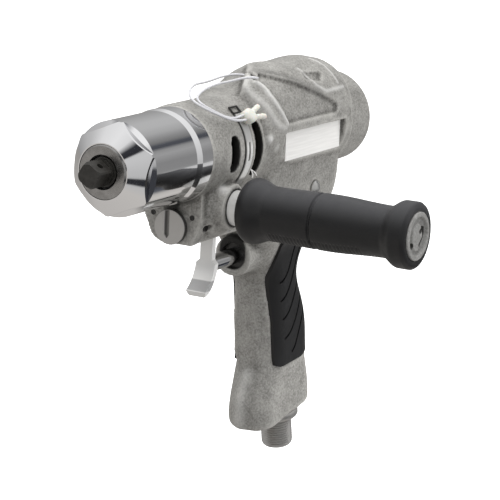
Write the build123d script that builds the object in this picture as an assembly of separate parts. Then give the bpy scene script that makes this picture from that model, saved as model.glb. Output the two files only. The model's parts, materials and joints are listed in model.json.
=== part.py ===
from build123d import *
import math
import os

# Pistol-grip air screwdriver. X runs forward along the spindle, Y to the tool's left, Z up.
# The origin is on the spindle axis, in the plane of the front ring's face.

# Fits, all radial or face to face
PRESS_GAP = 0.02
RUN_GAP = 0.04
MOVE_GAP = 0.4
FACE_GAP = 0.3

# How far a cutter runs past the face it leaves, and how far one reaches that leaves the housing
OVERRUN = 1.0
REACH = 40.0

# Square drive and spindle
SQUARE_SIDE = 9.53
SQUARE_LENGTH = 11.5
SQUARE_CORNER_R = 6.25
SQUARE_TIP_R = 5.2
SQUARE_TIP_LENGTH = 1.3
SQUARE_TURN = 57.5
PIN_HOLE_R = 1.6
PIN_HOLE_X = 5.6
SPINDLE_R = 7.0
SPINDLE_NECK_R = 6.0
SPINDLE_NECK_LENGTH = 1.6
SPINDLE_COLLAR_R = 10.0
SPINDLE_COLLAR_LENGTH = 4.0
CAM_R = 15.5
CAM_WIDTH = 8.0

# Front ring and nose cap
RING_R = 12.9
RING_HOLE_R = 8.2
RING_DEPTH = 5.0
RING_BEVEL = 0.8
NOSE_R = 22.5
NOSE_LENGTH = 46.5
CONE_FRONT_R = 13.4
CONE_STEP = 0.5
CONE_LENGTH = 8.8
FLATS_ACROSS = 40.0
FLATS_SHOULDER = 0.7
FLATS_TAPER = 6.0
FLATS_WALL_LEAN = 20.0
FLATS_TURN = -7.4
FLAT_COUNT = 6
NOSE_FRONT_WALL = 24.0
NOSE_CAVITY_R = 17.0
BUSH_R = 11.0
BUSH_LENGTH = 17.0

# Barrel ring and the housing's front spigot
BARREL_RING_R = 23.1
BARREL_RING_LENGTH = 13.4
BARREL_RING_BEVEL = 4.0
BARREL_RING_BEVEL_RISE = 0.9
SPIGOT_R = 19.9
SPIGOT_LENGTH = 22.0
SPIGOT_BORE_R = 16.4

# Torque clutch on its shaft
BALL_R = 3.0
BALL_COUNT = 6
BALL_PITCH_R = 10.8
BALL_LAP = 0.4
PLATE_GAP = 3.5
PLATE_WIDTH = 7.5
CLUTCH_SHAFT_R = 6.0
SHAFT_NOSE_LENGTH = 6.0
MAIN_SPRING_R = 12.4
MAIN_SPRING_WIRE_R = 1.6
MAIN_SPRING_LENGTH = 25.4
MAIN_SPRING_TURNS = 6
SEAT_R = 14.5
SEAT_WIDTH = 3.0
ADJUSTER_R = 19.0
ADJUSTER_WIDTH = 22.0
ADJUSTER_HUB_R = 13.0
ADJUSTER_RIM_WIDTH = 10.0
TOMMY_HOLE_R = 2.3
TOMMY_HOLE_DEPTH = 6.0
TOMMY_HOLE_COUNT = 8
WASHER_R = 12.0
WASHER_WIDTH = 2.2
SHAFT_SHOULDER_R = 9.0
SHAFT_SHOULDER_LENGTH = 5.5

# Planetary gear
GEAR_MODULE = 0.8
SUN_TEETH = 12
PLANET_TEETH = 15
PLANET_COUNT = 3
GEAR_BACKLASH = 0.3
GEAR_ADDENDUM = 0.9
GEAR_DEDENDUM = 1.25
GEAR_PRESSURE_ANGLE = 20.0
GEAR_WIDTH = 11.4
RING_GEAR_EXTRA = 3.0
PLANET_PIN_R = 2.0
CARRIER_R = 15.5
CARRIER_WIDTH = 5.5
CARRIER_SEAT_R = 5.5

# Vane motor
MOTOR_R = 19.5
MOTOR_PLATE_WIDTH = 7.0
BEARING_R = 8.0
BEARING_WIDTH = 5.5
ROTOR_R = 14.0
ROTOR_LENGTH = 50.4
ROTOR_SHAFT_R = 5.0
LINER_BORE_R = 16.0
LINER_OFFSET = 1.6
VANE_COUNT = 5
VANE_WIDTH = 2.4
VANE_DEPTH = 5.6
VANE_SIDE_GAP = 0.1
PORT_R = 2.0
PORT_COUNT = 5

# Housing: barrel and motor body
BARREL_R = 23.8
BARREL_LIP_R = 23.2
BARREL_LIP_LENGTH = 5.0
BORE_STEP_DEPTH = 8.0
BODY_FLAT_Y = 24.0
BODY_FLAT_FRONT_X = -125.0
BODY_FLAT_BACK_X = -188.0
BODY_FLAT_TOP_Z = 5.1
BODY_FLAT_BOTTOM_Z = -15.0

# Motor body: station, arch radius, arch height and depth of the belly of each section
BODY_SECTIONS = [
    (-104.0, BARREL_R, 0.0, BARREL_R),
    (-118.0, 24.1, 1.5, 24.1),
    (-130.0, 25.4, 5.3, 24.4),
    (-140.0, 26.3, 8.0, 24.6),
    (-150.0, 26.5, 8.8, 24.6),
    (-170.0, 26.5, 8.8, 24.6),
    (-186.0, 26.5, 8.8, 24.6),
    (-197.0, 25.6, 7.8, 24.2),
]
BODY_FRONT_X = BODY_SECTIONS[0][0]
BODY_BACK_X = BODY_SECTIONS[-1][0]

# The hump reaches further forward on the left, as a web that a slanting wall ends on the right
WEB_SECTIONS = [
    (-108.5, 23.4, 2.0, 20.0),
    (-117.0, 26.1, 8.3, 20.0),
    (-126.0, 26.5, 8.8, 20.0),
    (-138.0, 26.5, 8.8, 20.0),
    (-152.0, 26.5, 8.8, 20.0),
]
WEB_WALL_POINT = (-131.0, -1.0, 34.5)
WEB_WALL_NORMAL = (0.49, -0.80, 0.35)

# Three-cornered recess in the left upper flank: corners backwards along X and up the slope
FLANK_MIDDLE = (-120.0, 19.4, 22.6)
FLANK_NORMAL = (0.0, 0.85, 0.527)
FLANK_CORNERS = [(-2.0, 11.0), (4.0, 14.5), (60.0, -11.0), (58.0, -14.6), (6.5, -14.6), (0.0, 0.0)]
FLANK_CORNER_R = 2.0
FLANK_DEPTH = 1.8
POCKET_CORNERS = [(41.0, 9.4), (57.0, 7.1), (50.0, 2.1), (37.0, 5.4)]
POCKET_CORNER_R = 1.2
POCKET_DEPTH = 1.4

# Adjusting windows and the band over the wall between them
FRONT_WINDOW_X = -80.7
FRONT_WINDOW_WIDTH = 7.2
FRONT_WINDOW_HEIGHT = 17.5
REAR_WINDOW_X = -103.0
REAR_WINDOW_WIDTH = 6.6
REAR_WINDOW_HEIGHT = 27.0
WINDOW_DEPTH = 6.0
BAND_X = -92.6
BAND_WIDTH = 8.0
BAND_THICK = 0.7
BAND_START = -47.0
BAND_END = 47.0
BAND_SLOT_WIDTH = 2.2
BAND_SLOT_LENGTH = 10.0
BUCKLE_WIRE_R = 0.5
BUCKLE_LENGTH = 3.6

# Seal and its cord
SEAL_X = -93.0
SEAL_TURN = 37.0
SEAL_R = 3.4
SEAL_LENGTH = 8.0
SEAL_ROUND = 1.4
SEAL_LIFT = 0.3
SEAL_HOLE_SHIFT = 1.3
SEAL_TAIL_R = 1.2
SEAL_TAIL_TIP_R = 0.7
SEAL_TAIL_LENGTH = 11.0
SEAL_TAIL_LEAN = 12.0
SEAL_TAIL_ROOT = 1.0
CORD_R = 0.6
CORD_END_DEPTH = 0.5
CORD_END_RUN = 5.0
CORD_HOLE_R = 1.8
CORD_HOLE_MOUTH = (-117.5, 11.0, 31.9)
CORD_HOLE_RUN = (-0.45, -0.89, 0.0)
CORD_ROUTE = [
    (-81.5, 21.9, 17.4),
    (-75.0, 20.9, 18.4),
    (-69.0, 17.6, 21.5),
    (-66.4, 11.8, 25.1),
    (-71.0, 6.4, 27.1),
    (-78.6, 2.8, 28.0),
    (-86.2, 1.6, 29.2),
    (-92.6, 5.0, 31.0),
    (-97.6, 9.5, 32.2),
    (-103.6, 13.5, 33.8),
    (-110.2, 16.4, 33.2),
    (-116.1, 13.9, 32.1),
    (-118.9, 8.3, 31.8),
    (-121.6, 2.9, 32.0),
    (-120.7, -3.0, 31.8),
    (-116.4, -7.2, 31.2),
    (-110.0, -8.2, 30.5),
    (-103.0, -7.4, 30.2),
    (-96.0, -6.4, 30.2),
    (-88.8, -4.6, 30.2),
    (-81.6, -2.0, 29.8),
    (-74.6, 1.2, 29.0),
    (-68.0, 5.4, 27.9),
    (-64.2, 11.4, 26.1),
    (-66.0, 17.8, 22.8),
    (-71.6, 21.8, 19.2),
    (-78.6, 23.7, 16.8),
]

# Rear cover
COVER_R = 24.5
COVER_BACK_R = 24.0
COVER_LENGTH = 26.8
COVER_ROUND = 4.0
COVER_SPIGOT_LENGTH = 5.0
COVER_WALL = 5.0
COVER_SPIGOT_WALL = 3.0
SPANNER_HOLE_R = 2.0
SPANNER_HOLE_DEPTH = 3.0
SPANNER_HOLE_PITCH_R = 15.0
SEAL_RING_R = 22.0
SEAL_RING_WIDTH = 1.5

# Nameplate and side plug
PLATE_LENGTH = 57.7
PLATE_HEIGHT = 14.5
PLATE_THICK = 0.6
PLATE_FRONT_X = -129.0
PLATE_BOTTOM_Z = -9.9
PLATE_MARGIN = 0.3
PLUG_X = -169.0
PLUG_Z = -30.0
PLUG_R = 4.2
PLUG_RIM = 1.2
PLUG_DOME_R = 6.0
PLUG_SEAT_DEPTH = 0.6
PLUG_SEAT_MARGIN = 0.5
PLUG_SHANK_R = 2.5
PLUG_SHANK_LENGTH = 8.0

# Front block, selector and its detent
BLOCK_FRONT_X = -63.0
BLOCK_BACK_X = -128.0
BLOCK_HALF_WIDTH = 16.0
BLOCK_KNEE_Z = -31.0
BLOCK_FOOT_HALF_WIDTH = 10.5
BLOCK_BOTTOM_Z = -44.0
BLOCK_ROUND_R = 10.0
SELECTOR_Z = -35.35
SELECTOR_DISC_R = 8.57
SELECTOR_DISC_WIDTH = 2.6
SELECTOR_R = 6.4
SELECTOR_LENGTH = 24.0
SELECTOR_SLOT_WIDTH = 2.4
SELECTOR_SLOT_DEPTH = 1.2
SELECTOR_SLOT_POINT = 2.0
SELECTOR_GROOVE_R = 5.4
SELECTOR_GROOVE_WIDTH = 4.8
SELECTOR_PORT_R = 2.2
DETENT_X = -70.4
DETENT_HOLE_R = 1.9
DETENT_BALL_R = 1.6
DETENT_SCREW_LENGTH = 2.2
DETENT_SCREW_SET = 0.8
DETENT_SPRING_WIRE_R = 0.25
DETENT_SPRING_TURNS = 2
DETENT_SPRING_SIDE_GAP = 0.1
DETENT_SPRING_SEAT = 0.8
INDEX_DOT_R = 0.9
INDEX_DOT_DEPTH = 0.6
INDEX_DOT_SPREAD = 63.0
INDEX_DOT_PITCH_R = 12.2

# Trigger and its pivot
TRIGGER_PIVOT_X = -97.5
TRIGGER_PIVOT_Z = -41.0
TRIGGER_PIN_R = 1.6
TRIGGER_EYE_R = 4.0
TRIGGER_NECK_WIDTH = 7.0
TRIGGER_PAD_WIDTH = 11.0
TRIGGER_THICK = 3.2
TRIGGER_KNEE_Z = -56.0
TRIGGER_PAD_TOP_Z = -59.4
TRIGGER_NECK_END_Z = -57.4
TRIGGER_PAD_TIP_FLAT = 1.0
TRIGGER_TIP_X = -87.5
TRIGGER_TIP_Z = -73.6
TRIGGER_SLOT_SIDE_GAP = 0.5
TRIGGER_SLOT_ROOM = 5.0
TRIGGER_PIN_LENGTH = 22.0

# Throttle plunger and valve
THROTTLE_Z = -60.5
PLUNGER_R = 4.2
PLUNGER_BEVEL = 0.8
VALVE_HEAD_R = 5.6
VALVE_HEAD_WIDTH = 3.0
THROTTLE_BOSS_R = 10.4
THROTTLE_BOSS_FRONT_X = -122.0
THROTTLE_BOSS_LENGTH = 30.0
THROTTLE_BUSH_R = 6.6
THROTTLE_BUSH_LENGTH = 14.0
THROTTLE_BUSH_SET_BACK = 3.0
THROTTLE_SPRING_R = 4.6
THROTTLE_SPRING_WIRE_R = 0.5
THROTTLE_SPRING_TURNS = 8
THROTTLE_BACK_X = -168.0
FEED_R = 3.0
FEED_PORT_R = 1.8
FEED_LAND = 0.5

# Grip: height, middle x, half length, half width and corner radius of each section
GRIP_SECTIONS = [
    (-10.0, -160.0, 36.5, 22.8, 9.0),
    (-18.0, -158.0, 38.5, 21.4, 6.5),
    (-38.0, -157.0, 37.0, 19.5, 7.5),
    (-56.0, -153.2, 24.2, 16.5, 12.0),
    (-72.0, -155.8, 17.6, 13.8, 12.5),
    (-90.0, -161.2, 19.2, 13.6, 12.5),
    (-106.0, -165.2, 21.0, 13.5, 12.5),
    (-120.0, -166.6, 21.6, 13.5, 12.5),
    (-133.0, -167.2, 24.6, 13.8, 12.5),
    (-145.0, -166.8, 27.0, 14.0, 12.5),
    (-156.0, -167.4, 26.8, 14.0, 12.5),
    (-168.0, -168.0, 26.5, 14.0, 12.5),
]
GRIP_FOOT_ROUND = 3.0
GRIP_TILT = 11.0
GRIP_FOOT_X = -174.3
GRIP_FOOT_Z = -151.2

# Grip panels
PANEL_OUTLINE = [
    (-144.5, -50.0),
    (-142.6, -56.0),
    (-141.8, -64.0),
    (-141.8, -73.5),
    (-144.9, -87.8),
    (-147.2, -99.0),
    (-148.9, -110.7),
    (-150.2, -122.0),
    (-153.0, -123.0),
    (-174.0, -121.6),
    (-200.0, -112.0),
    (-200.0, -50.0),
]
PANEL_PROUD = 0.8
PANEL_SUNK = 1.4
PANEL_SPINE = 2.5
PANEL_EDGE_GAP = 0.05
GROOVE_WIDTH = 1.3
GROOVE_DEPTH = 0.9

# Grooves of a panel: x and z along each curve, from its front end up to the back
GROOVES = [
    [(-148.2, -77.3), (-154.8, -72.1), (-157.3, -65.3), (-158.4, -56.5), (-159.0, -48.0)],
    [(-150.1, -87.4), (-157.4, -81.2), (-160.4, -75.0), (-163.0, -66.0), (-167.5, -48.0)],
    [(-152.7, -97.4), (-157.6, -94.8), (-161.0, -90.4), (-165.4, -80.8), (-176.0, -57.0)],
    [(-155.7, -108.3), (-161.8, -105.0), (-165.4, -100.2), (-169.4, -90.2), (-180.0, -66.0)],
    [(-163.7, -116.9), (-167.0, -114.0), (-169.4, -109.2), (-173.2, -99.2), (-184.0, -75.0)],
]

# Air inlet and exhaust
INLET_THREAD_R = 8.33
INLET_THREAD_LENGTH = 17.0
INLET_BORE_R = 5.5
INLET_FLANGE_R = 12.0
INLET_FLANGE_WIDTH = 4.8
INLET_SHANK_R = 8.0
INLET_SHANK_LENGTH = 10.0
INLET_CHAMFER = 1.0
STRAINER_WALL = 0.8
STRAINER_LENGTH = 9.0
MUFFLER_X = -152.0
MUFFLER_R = 5.5
MUFFLER_LENGTH = 12.0
MUFFLER_CAVITY = 20.0
MUFFLER_SET_BACK = 2.0
MUFFLER_HOLE_R = 1.0
MUFFLER_HOLE_PITCH_R = 3.2
MUFFLER_HOLE_COUNT = 6

# Side handle
HANDLE_X = -81.7
HANDLE_Z = -26.0
HANDLE_BOSS_R = 11.5
HANDLE_BOSS_ROOT_R = 15.0
HANDLE_BOSS_FLARE = 3.0
HANDLE_FACE_Y = 23.8
HANDLE_COLLAR_R = 8.6
HANDLE_COLLAR_LENGTH = 6.4
HANDLE_STUD_R = 5.0
HANDLE_STUD_LENGTH = 13.0
HANDLE_CORE_R = 6.0
HANDLE_GRIP_R = 13.65
HANDLE_NEAR_WAIST_R = 13.2
HANDLE_FAR_WAIST_R = 12.4
HANDLE_FLANGE_R = 16.0
HANDLE_GRIP_LENGTH = 90.6
HANDLE_FAR_EDGE = 7.0
HANDLE_NEAR_EDGE = 5.0
HANDLE_NEAR_FOOT = 15.0
HANDLE_FAR_FOOT = 14.5
HANDLE_BELLY_SET = 47.0
HANDLE_RIM_BEVEL = 1.5
HANDLE_NEAR_BEVEL_RISE = 3.0
HANDLE_GROOVE_DEPTH = 0.8
HANDLE_GROOVE_WIDTH = 1.2
HANDLE_GROOVE_SET = 40.0
HANDLE_END_R = 11.5
HANDLE_END_DEPTH = 4.0
HANDLE_END_PROUD = 0.7
HANDLE_END_RECESS_R = 8.0
HANDLE_END_RECESS_DEPTH = 1.4
HANDLE_END_HOLE_R = 1.4
HANDLE_END_HOLE_DEPTH = 2.0
HANDLE_END_HUB_R = 4.5
HANDLE_END_HUB_HEIGHT = 3.0
HANDLE_END_HUB_SHIFT = -2.0

# Stations along the spindle axis, worked out from the front backwards
CONE_BACK_X = -CONE_STEP - CONE_LENGTH
FLATS_END_X = CONE_BACK_X - FLATS_SHOULDER
NOSE_BACK_X = -NOSE_LENGTH
BARREL_FRONT_X = NOSE_BACK_X - BARREL_RING_LENGTH
SPIGOT_FRONT_X = BARREL_FRONT_X - PRESS_GAP + SPIGOT_LENGTH
CAM_FRONT_X = -NOSE_FRONT_WALL - SPINDLE_COLLAR_LENGTH
CAM_BACK_X = CAM_FRONT_X - CAM_WIDTH
BALL_X = CAM_BACK_X + BALL_LAP - BALL_R
CLUTCH_FRONT_X = CAM_BACK_X - PLATE_GAP
CLUTCH_BACK_X = CLUTCH_FRONT_X - PLATE_WIDTH
SPRING_FRONT_X = CLUTCH_BACK_X - FACE_GAP
SPRING_BACK_X = SPRING_FRONT_X - MAIN_SPRING_LENGTH
SEAT_FRONT_X = SPRING_BACK_X - FACE_GAP
SEAT_BACK_X = SEAT_FRONT_X - SEAT_WIDTH
ADJUSTER_FRONT_X = SEAT_BACK_X - FACE_GAP
ADJUSTER_BACK_X = ADJUSTER_FRONT_X - ADJUSTER_WIDTH
WASHER_FRONT_X = ADJUSTER_BACK_X - FACE_GAP
WASHER_BACK_X = WASHER_FRONT_X - WASHER_WIDTH
CARRIER_FRONT_X = WASHER_BACK_X - SHAFT_SHOULDER_LENGTH
CARRIER_BACK_X = CARRIER_FRONT_X - CARRIER_WIDTH
GEAR_FRONT_X = CARRIER_BACK_X - FACE_GAP
GEAR_BACK_X = GEAR_FRONT_X - GEAR_WIDTH
RING_GEAR_BACK_X = GEAR_BACK_X - RING_GEAR_EXTRA
FRONT_PLATE_BACK_X = RING_GEAR_BACK_X - MOTOR_PLATE_WIDTH
ROTOR_FRONT_X = FRONT_PLATE_BACK_X - FACE_GAP
ROTOR_BACK_X = ROTOR_FRONT_X - ROTOR_LENGTH
LINER_BACK_X = ROTOR_BACK_X - FACE_GAP
REAR_PLATE_BACK_X = LINER_BACK_X - MOTOR_PLATE_WIDTH
COVER_BACK_X = BODY_BACK_X - COVER_LENGTH
THROTTLE_BUSH_FRONT_X = THROTTLE_BOSS_FRONT_X - THROTTLE_BUSH_SET_BACK
THROTTLE_BUSH_BACK_X = THROTTLE_BUSH_FRONT_X - THROTTLE_BUSH_LENGTH
VALVE_HEAD_BACK_X = THROTTLE_BUSH_BACK_X - FACE_GAP - VALVE_HEAD_WIDTH
FEED_X = THROTTLE_BUSH_BACK_X + FEED_PORT_R + FEED_LAND
PLUNGER_FRONT_X = TRIGGER_PIVOT_X - TRIGGER_THICK / 2 - FACE_GAP
BORE_R = MOTOR_R + PRESS_GAP
BAND_R = BARREL_R + PRESS_GAP
PLATE_TOP_Z = PLATE_BOTTOM_Z + PLATE_HEIGHT
PLATE_BACK_X = PLATE_FRONT_X - PLATE_LENGTH
HANDLE_GRIP_Y = HANDLE_FACE_Y + HANDLE_COLLAR_LENGTH
HANDLE_END_Y = HANDLE_GRIP_Y + HANDLE_GRIP_LENGTH
RING_TEETH = SUN_TEETH + 2 * PLANET_TEETH
GEAR_CENTRES = GEAR_MODULE * (SUN_TEETH + PLANET_TEETH) / 2

LOW = (Align.CENTER, Align.CENTER, Align.MIN)


# Helpers

def turned(*corners):
    """A body of revolution about the spindle axis, from its (x, radius) corners."""
    return revolve(make_face(Polyline(*corners, close=True)), Axis.X)


def across(x, y=0.0, z=0.0):
    """A plane square to the spindle axis, with Y to its right and Z up."""
    return Plane((x, y, z), x_dir=(0, 1, 0), z_dir=(1, 0, 0))


def sideways(x, y, z):
    """A plane that looks along Y, with X backwards to its right and Z up."""
    return Plane((x, y, z), x_dir=(-1, 0, 0), z_dir=(0, 1, 0))


def rod_x(radius, back, front, y=0.0, z=0.0):
    """A round bar along X between two stations."""
    return across(back, y, z) * Cylinder(radius, front - back, align=LOW)


def rod_y(radius, low, high, x, z):
    """A round bar along Y."""
    return sideways(x, low, z) * Cylinder(radius, high - low, align=LOW)


def tube_x(outer, inner, back, front, y=0.0, z=0.0):
    """A ring along X between two stations."""
    return rod_x(outer, back, front, y, z) - rod_x(inner, back - OVERRUN, front + OVERRUN, y, z)


def slab(x0, x1, y0, y1, z0, z1):
    """A box between two corners."""
    size = Box(abs(x1 - x0), abs(y1 - y0), abs(z1 - z0))
    return Pos((x0 + x1) / 2, (y0 + y1) / 2, (z0 + z1) / 2) * size


def ball(radius, x, y=0.0, z=0.0):
    """A sphere with its poles along the spindle axis."""
    return across(x, y, z) * Sphere(radius)


def round_x(shape, turn):
    """A shape turned about the spindle axis by some degrees."""
    return Rot(turn, 0, 0) * shape


def coil(radius, wire_r, turns, length):
    """A helical spring standing on the XY plane: two tangent arcs to each quarter turn."""
    rise = length - 2 * wire_r
    steps = 4 * turns

    def place(k):
        angle = math.tau * turns * k / steps
        return Vector(radius * math.cos(angle), radius * math.sin(angle), wire_r + rise * k / steps)

    def heading(k):
        angle = math.tau * turns * k / steps
        climb = rise / (math.tau * turns)
        return Vector(-radius * math.sin(angle), radius * math.cos(angle), climb).normalized()

    arcs = []
    for k in range(steps):
        start, end = place(k), place(k + 1)
        leave, arrive = heading(k), heading(k + 1)
        span = end - start
        bend = 2 * (1 - leave.dot(arrive))
        along = span.dot(leave + arrive)
        arm = (math.sqrt(along * along + bend * span.dot(span)) - along) / bend
        first = start + leave * arm
        last = end - arrive * arm
        middle = (first + last) * 0.5
        arcs.append(TangentArc(start, middle, tangent=leave))
        arcs.append(TangentArc(middle, end, tangent=last - first))
    path = Wire(arcs)
    print("spring gap between turns", round(rise / turns - 2 * wire_r, 2))
    return sweep(Plane(path @ 0, z_dir=path % 0) * Circle(wire_r), path=path)


def gear_face(teeth, tip, root, turn, play):
    """A gear outline with straight flanks: tip and root heights from the pitch circle in modules."""
    pitch_r = GEAR_MODULE * teeth / 2
    lean = math.tan(math.radians(GEAR_PRESSURE_ANGLE))
    points = []
    for k in range(teeth):
        middle = turn + math.tau * k / teeth
        for side, height in ((-1, -root), (-1, tip), (1, tip), (1, -root)):
            rise = height * GEAR_MODULE
            radius = pitch_r + rise
            half = math.pi * GEAR_MODULE / 4 + play / 2 - rise * lean
            angle = middle + side * half / radius
            points.append((radius * math.cos(angle), radius * math.sin(angle)))
    return make_face(Polyline(*points, close=True))


# Spindle, nose and barrel ring

def make_spindle():
    """Square drive, round shank, collar and the cam flange with its ball seats, as one piece."""
    square_back = SPINDLE_NECK_LENGTH / 2
    square_front = SQUARE_LENGTH
    half = SQUARE_SIDE / 2
    square = slab(square_back, square_front, -half, half, -half, half)
    rounding = turned(
        (square_back, 0),
        (square_back, SQUARE_CORNER_R),
        (square_front - SQUARE_TIP_LENGTH, SQUARE_CORNER_R),
        (square_front, SQUARE_TIP_R),
        (square_front, 0),
    )
    square = round_x(square & rounding, SQUARE_TURN)
    hole = round_x(rod_y(PIN_HOLE_R, 0, SQUARE_SIDE, PIN_HOLE_X, 0), SQUARE_TURN)
    shaft = turned(
        (CAM_BACK_X, 0),
        (CAM_BACK_X, CAM_R),
        (CAM_FRONT_X, CAM_R),
        (CAM_FRONT_X, SPINDLE_COLLAR_R),
        (-NOSE_FRONT_WALL - FACE_GAP, SPINDLE_COLLAR_R),
        (-NOSE_FRONT_WALL - FACE_GAP, SPINDLE_R),
        (-SPINDLE_NECK_LENGTH / 2, SPINDLE_R),
        (-SPINDLE_NECK_LENGTH / 2, SPINDLE_NECK_R),
        (square_back, SPINDLE_NECK_R),
        (square_back, 0),
    )
    pilot = rod_x(CLUTCH_SHAFT_R + PRESS_GAP, CAM_BACK_X - OVERRUN, CAM_BACK_X + SHAFT_NOSE_LENGTH)
    spindle = shaft + square - hole - pilot
    for k in range(BALL_COUNT):
        seat = ball(BALL_R + FACE_GAP, BALL_X, BALL_PITCH_R)
        spindle -= round_x(seat, 360 * k / BALL_COUNT)
    return spindle


def make_front_ring():
    """Satin ring in the nose cap's mouth, with a bevelled rim."""
    return turned(
        (-RING_DEPTH, RING_HOLE_R),
        (-RING_DEPTH, RING_R),
        (-RING_BEVEL, RING_R),
        (0, RING_R - RING_BEVEL),
        (0, RING_HOLE_R),
    )


def make_nose_cap():
    """Cone and cylinder with six tapering wrench flats, hollow for the clutch and screwed on the spigot."""
    ring_bore = RING_R + PRESS_GAP
    bush_bore = BUSH_R + PRESS_GAP
    spigot_bore = SPIGOT_R + PRESS_GAP
    spigot_seat = SPIGOT_FRONT_X + FACE_GAP
    cap = turned(
        (-CONE_STEP, ring_bore),
        (-CONE_STEP, CONE_FRONT_R),
        (CONE_BACK_X, NOSE_R),
        (NOSE_BACK_X, NOSE_R),
        (NOSE_BACK_X, spigot_bore),
        (spigot_seat, spigot_bore),
        (spigot_seat, NOSE_CAVITY_R),
        (-NOSE_FRONT_WALL, NOSE_CAVITY_R),
        (-NOSE_FRONT_WALL, bush_bore),
        (-RING_DEPTH, bush_bore),
        (-RING_DEPTH, ring_bore),
    )
    flat_r = FLATS_ACROSS / 2
    reach = NOSE_R + OVERRUN
    wall_back = FLATS_END_X - (reach - flat_r) * math.tan(math.radians(FLATS_WALL_LEAN))
    hexagon = across(wall_back) * RegularPolygon(flat_r, FLAT_COUNT, major_radius=False)
    prism = round_x(extrude(hexagon, -wall_back, taper=FLATS_TAPER), FLATS_TURN + 180 / FLAT_COUNT)
    front = turned((0, 0), (0, reach), (wall_back, reach), (FLATS_END_X, flat_r), (FLATS_END_X, 0))
    return cap - (front - prism)


def make_spindle_bush():
    """Plain bearing bush of the spindle."""
    back = -NOSE_FRONT_WALL + FACE_GAP
    return tube_x(BUSH_R, SPINDLE_R + RUN_GAP, back, back + BUSH_LENGTH)


def make_barrel_ring():
    """Polished ring between nose cap and casting, bevelled at its front."""
    return turned(
        (NOSE_BACK_X, SPIGOT_R + PRESS_GAP),
        (NOSE_BACK_X, BARREL_RING_R - BARREL_RING_BEVEL_RISE),
        (NOSE_BACK_X - BARREL_RING_BEVEL, BARREL_RING_R),
        (BARREL_FRONT_X, BARREL_RING_R),
        (BARREL_FRONT_X, SPIGOT_R + PRESS_GAP),
    )


# Torque clutch

def make_clutch_balls():
    """Balls that carry the torque from the sliding plate to the spindle's cam."""
    first = ball(BALL_R, BALL_X, BALL_PITCH_R)
    return Compound(children=[round_x(first, 360 * k / BALL_COUNT) for k in range(BALL_COUNT)])


def make_clutch_plate():
    """Sliding plate that holds the balls and is pressed forward by the torque spring."""
    plate = tube_x(CAM_R, CLUTCH_SHAFT_R + RUN_GAP, CLUTCH_BACK_X, CLUTCH_FRONT_X)
    for k in range(BALL_COUNT):
        pocket = ball(BALL_R + PRESS_GAP, BALL_X, BALL_PITCH_R)
        mouth = rod_x(BALL_R + PRESS_GAP, BALL_X, CLUTCH_FRONT_X + OVERRUN, BALL_PITCH_R, 0)
        plate -= round_x(pocket + mouth, 360 * k / BALL_COUNT)
    return plate


def make_clutch_shaft():
    """Shaft from the planet carrier to the spindle, with a shoulder behind the thrust washer."""
    return turned(
        (CARRIER_BACK_X, 0),
        (CARRIER_BACK_X, CARRIER_SEAT_R),
        (CARRIER_FRONT_X, CARRIER_SEAT_R),
        (CARRIER_FRONT_X, SHAFT_SHOULDER_R),
        (WASHER_BACK_X, SHAFT_SHOULDER_R),
        (WASHER_BACK_X, CLUTCH_SHAFT_R),
        (CAM_BACK_X + SHAFT_NOSE_LENGTH - FACE_GAP, CLUTCH_SHAFT_R),
        (CAM_BACK_X + SHAFT_NOSE_LENGTH - FACE_GAP, 0),
    )


def make_main_spring():
    """Torque spring between the clutch plate and its adjustable seat."""
    return across(SPRING_BACK_X) * coil(
        MAIN_SPRING_R, MAIN_SPRING_WIRE_R, MAIN_SPRING_TURNS, MAIN_SPRING_LENGTH
    )


def make_spring_seat():
    """Washer-like seat that the adjusting ring screws forward."""
    return tube_x(SEAT_R, CLUTCH_SHAFT_R + RUN_GAP, SEAT_BACK_X, SEAT_FRONT_X)


def make_adjusting_ring():
    """Torque adjusting ring: a rim with tommy-bar holes under the front window, on a longer hub."""
    ring = turned(
        (ADJUSTER_BACK_X, CLUTCH_SHAFT_R + RUN_GAP),
        (ADJUSTER_BACK_X, ADJUSTER_HUB_R),
        (ADJUSTER_FRONT_X - ADJUSTER_RIM_WIDTH, ADJUSTER_HUB_R),
        (ADJUSTER_FRONT_X - ADJUSTER_RIM_WIDTH, ADJUSTER_R),
        (ADJUSTER_FRONT_X, ADJUSTER_R),
        (ADJUSTER_FRONT_X, CLUTCH_SHAFT_R + RUN_GAP),
    )
    hole_x = ADJUSTER_FRONT_X - ADJUSTER_RIM_WIDTH / 2
    for k in range(TOMMY_HOLE_COUNT):
        hole = rod_y(TOMMY_HOLE_R, ADJUSTER_R - TOMMY_HOLE_DEPTH, ADJUSTER_R + OVERRUN, hole_x, 0)
        ring -= round_x(hole, 360 * k / TOMMY_HOLE_COUNT)
    return ring


def make_thrust_washer():
    """Washer between the adjusting ring and the clutch shaft's shoulder."""
    return tube_x(WASHER_R, CLUTCH_SHAFT_R + PRESS_GAP, WASHER_BACK_X, WASHER_FRONT_X)


# Planetary gear

def planet_turn(k):
    """Where planet k stands round the sun, in radians."""
    return math.pi / 2 + math.tau * k / PLANET_COUNT


def planet_phase(k):
    """Turn of planet k's first tooth, so that its gaps meet the sun's teeth."""
    stand = planet_turn(k)
    lead = -stand * SUN_TEETH / PLANET_TEETH
    return stand + math.pi - lead + math.pi / PLANET_TEETH


def make_planet(k):
    """One planet gear on its pin."""
    face = gear_face(PLANET_TEETH, GEAR_ADDENDUM, GEAR_DEDENDUM, planet_phase(k), -GEAR_BACKLASH)
    stand = planet_turn(k)
    y = GEAR_CENTRES * math.cos(stand)
    z = GEAR_CENTRES * math.sin(stand)
    gear = extrude(across(GEAR_BACK_X, y, z) * face, GEAR_WIDTH)
    return gear - rod_x(PLANET_PIN_R + RUN_GAP, GEAR_BACK_X - OVERRUN, GEAR_FRONT_X + OVERRUN, y, z)


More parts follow.
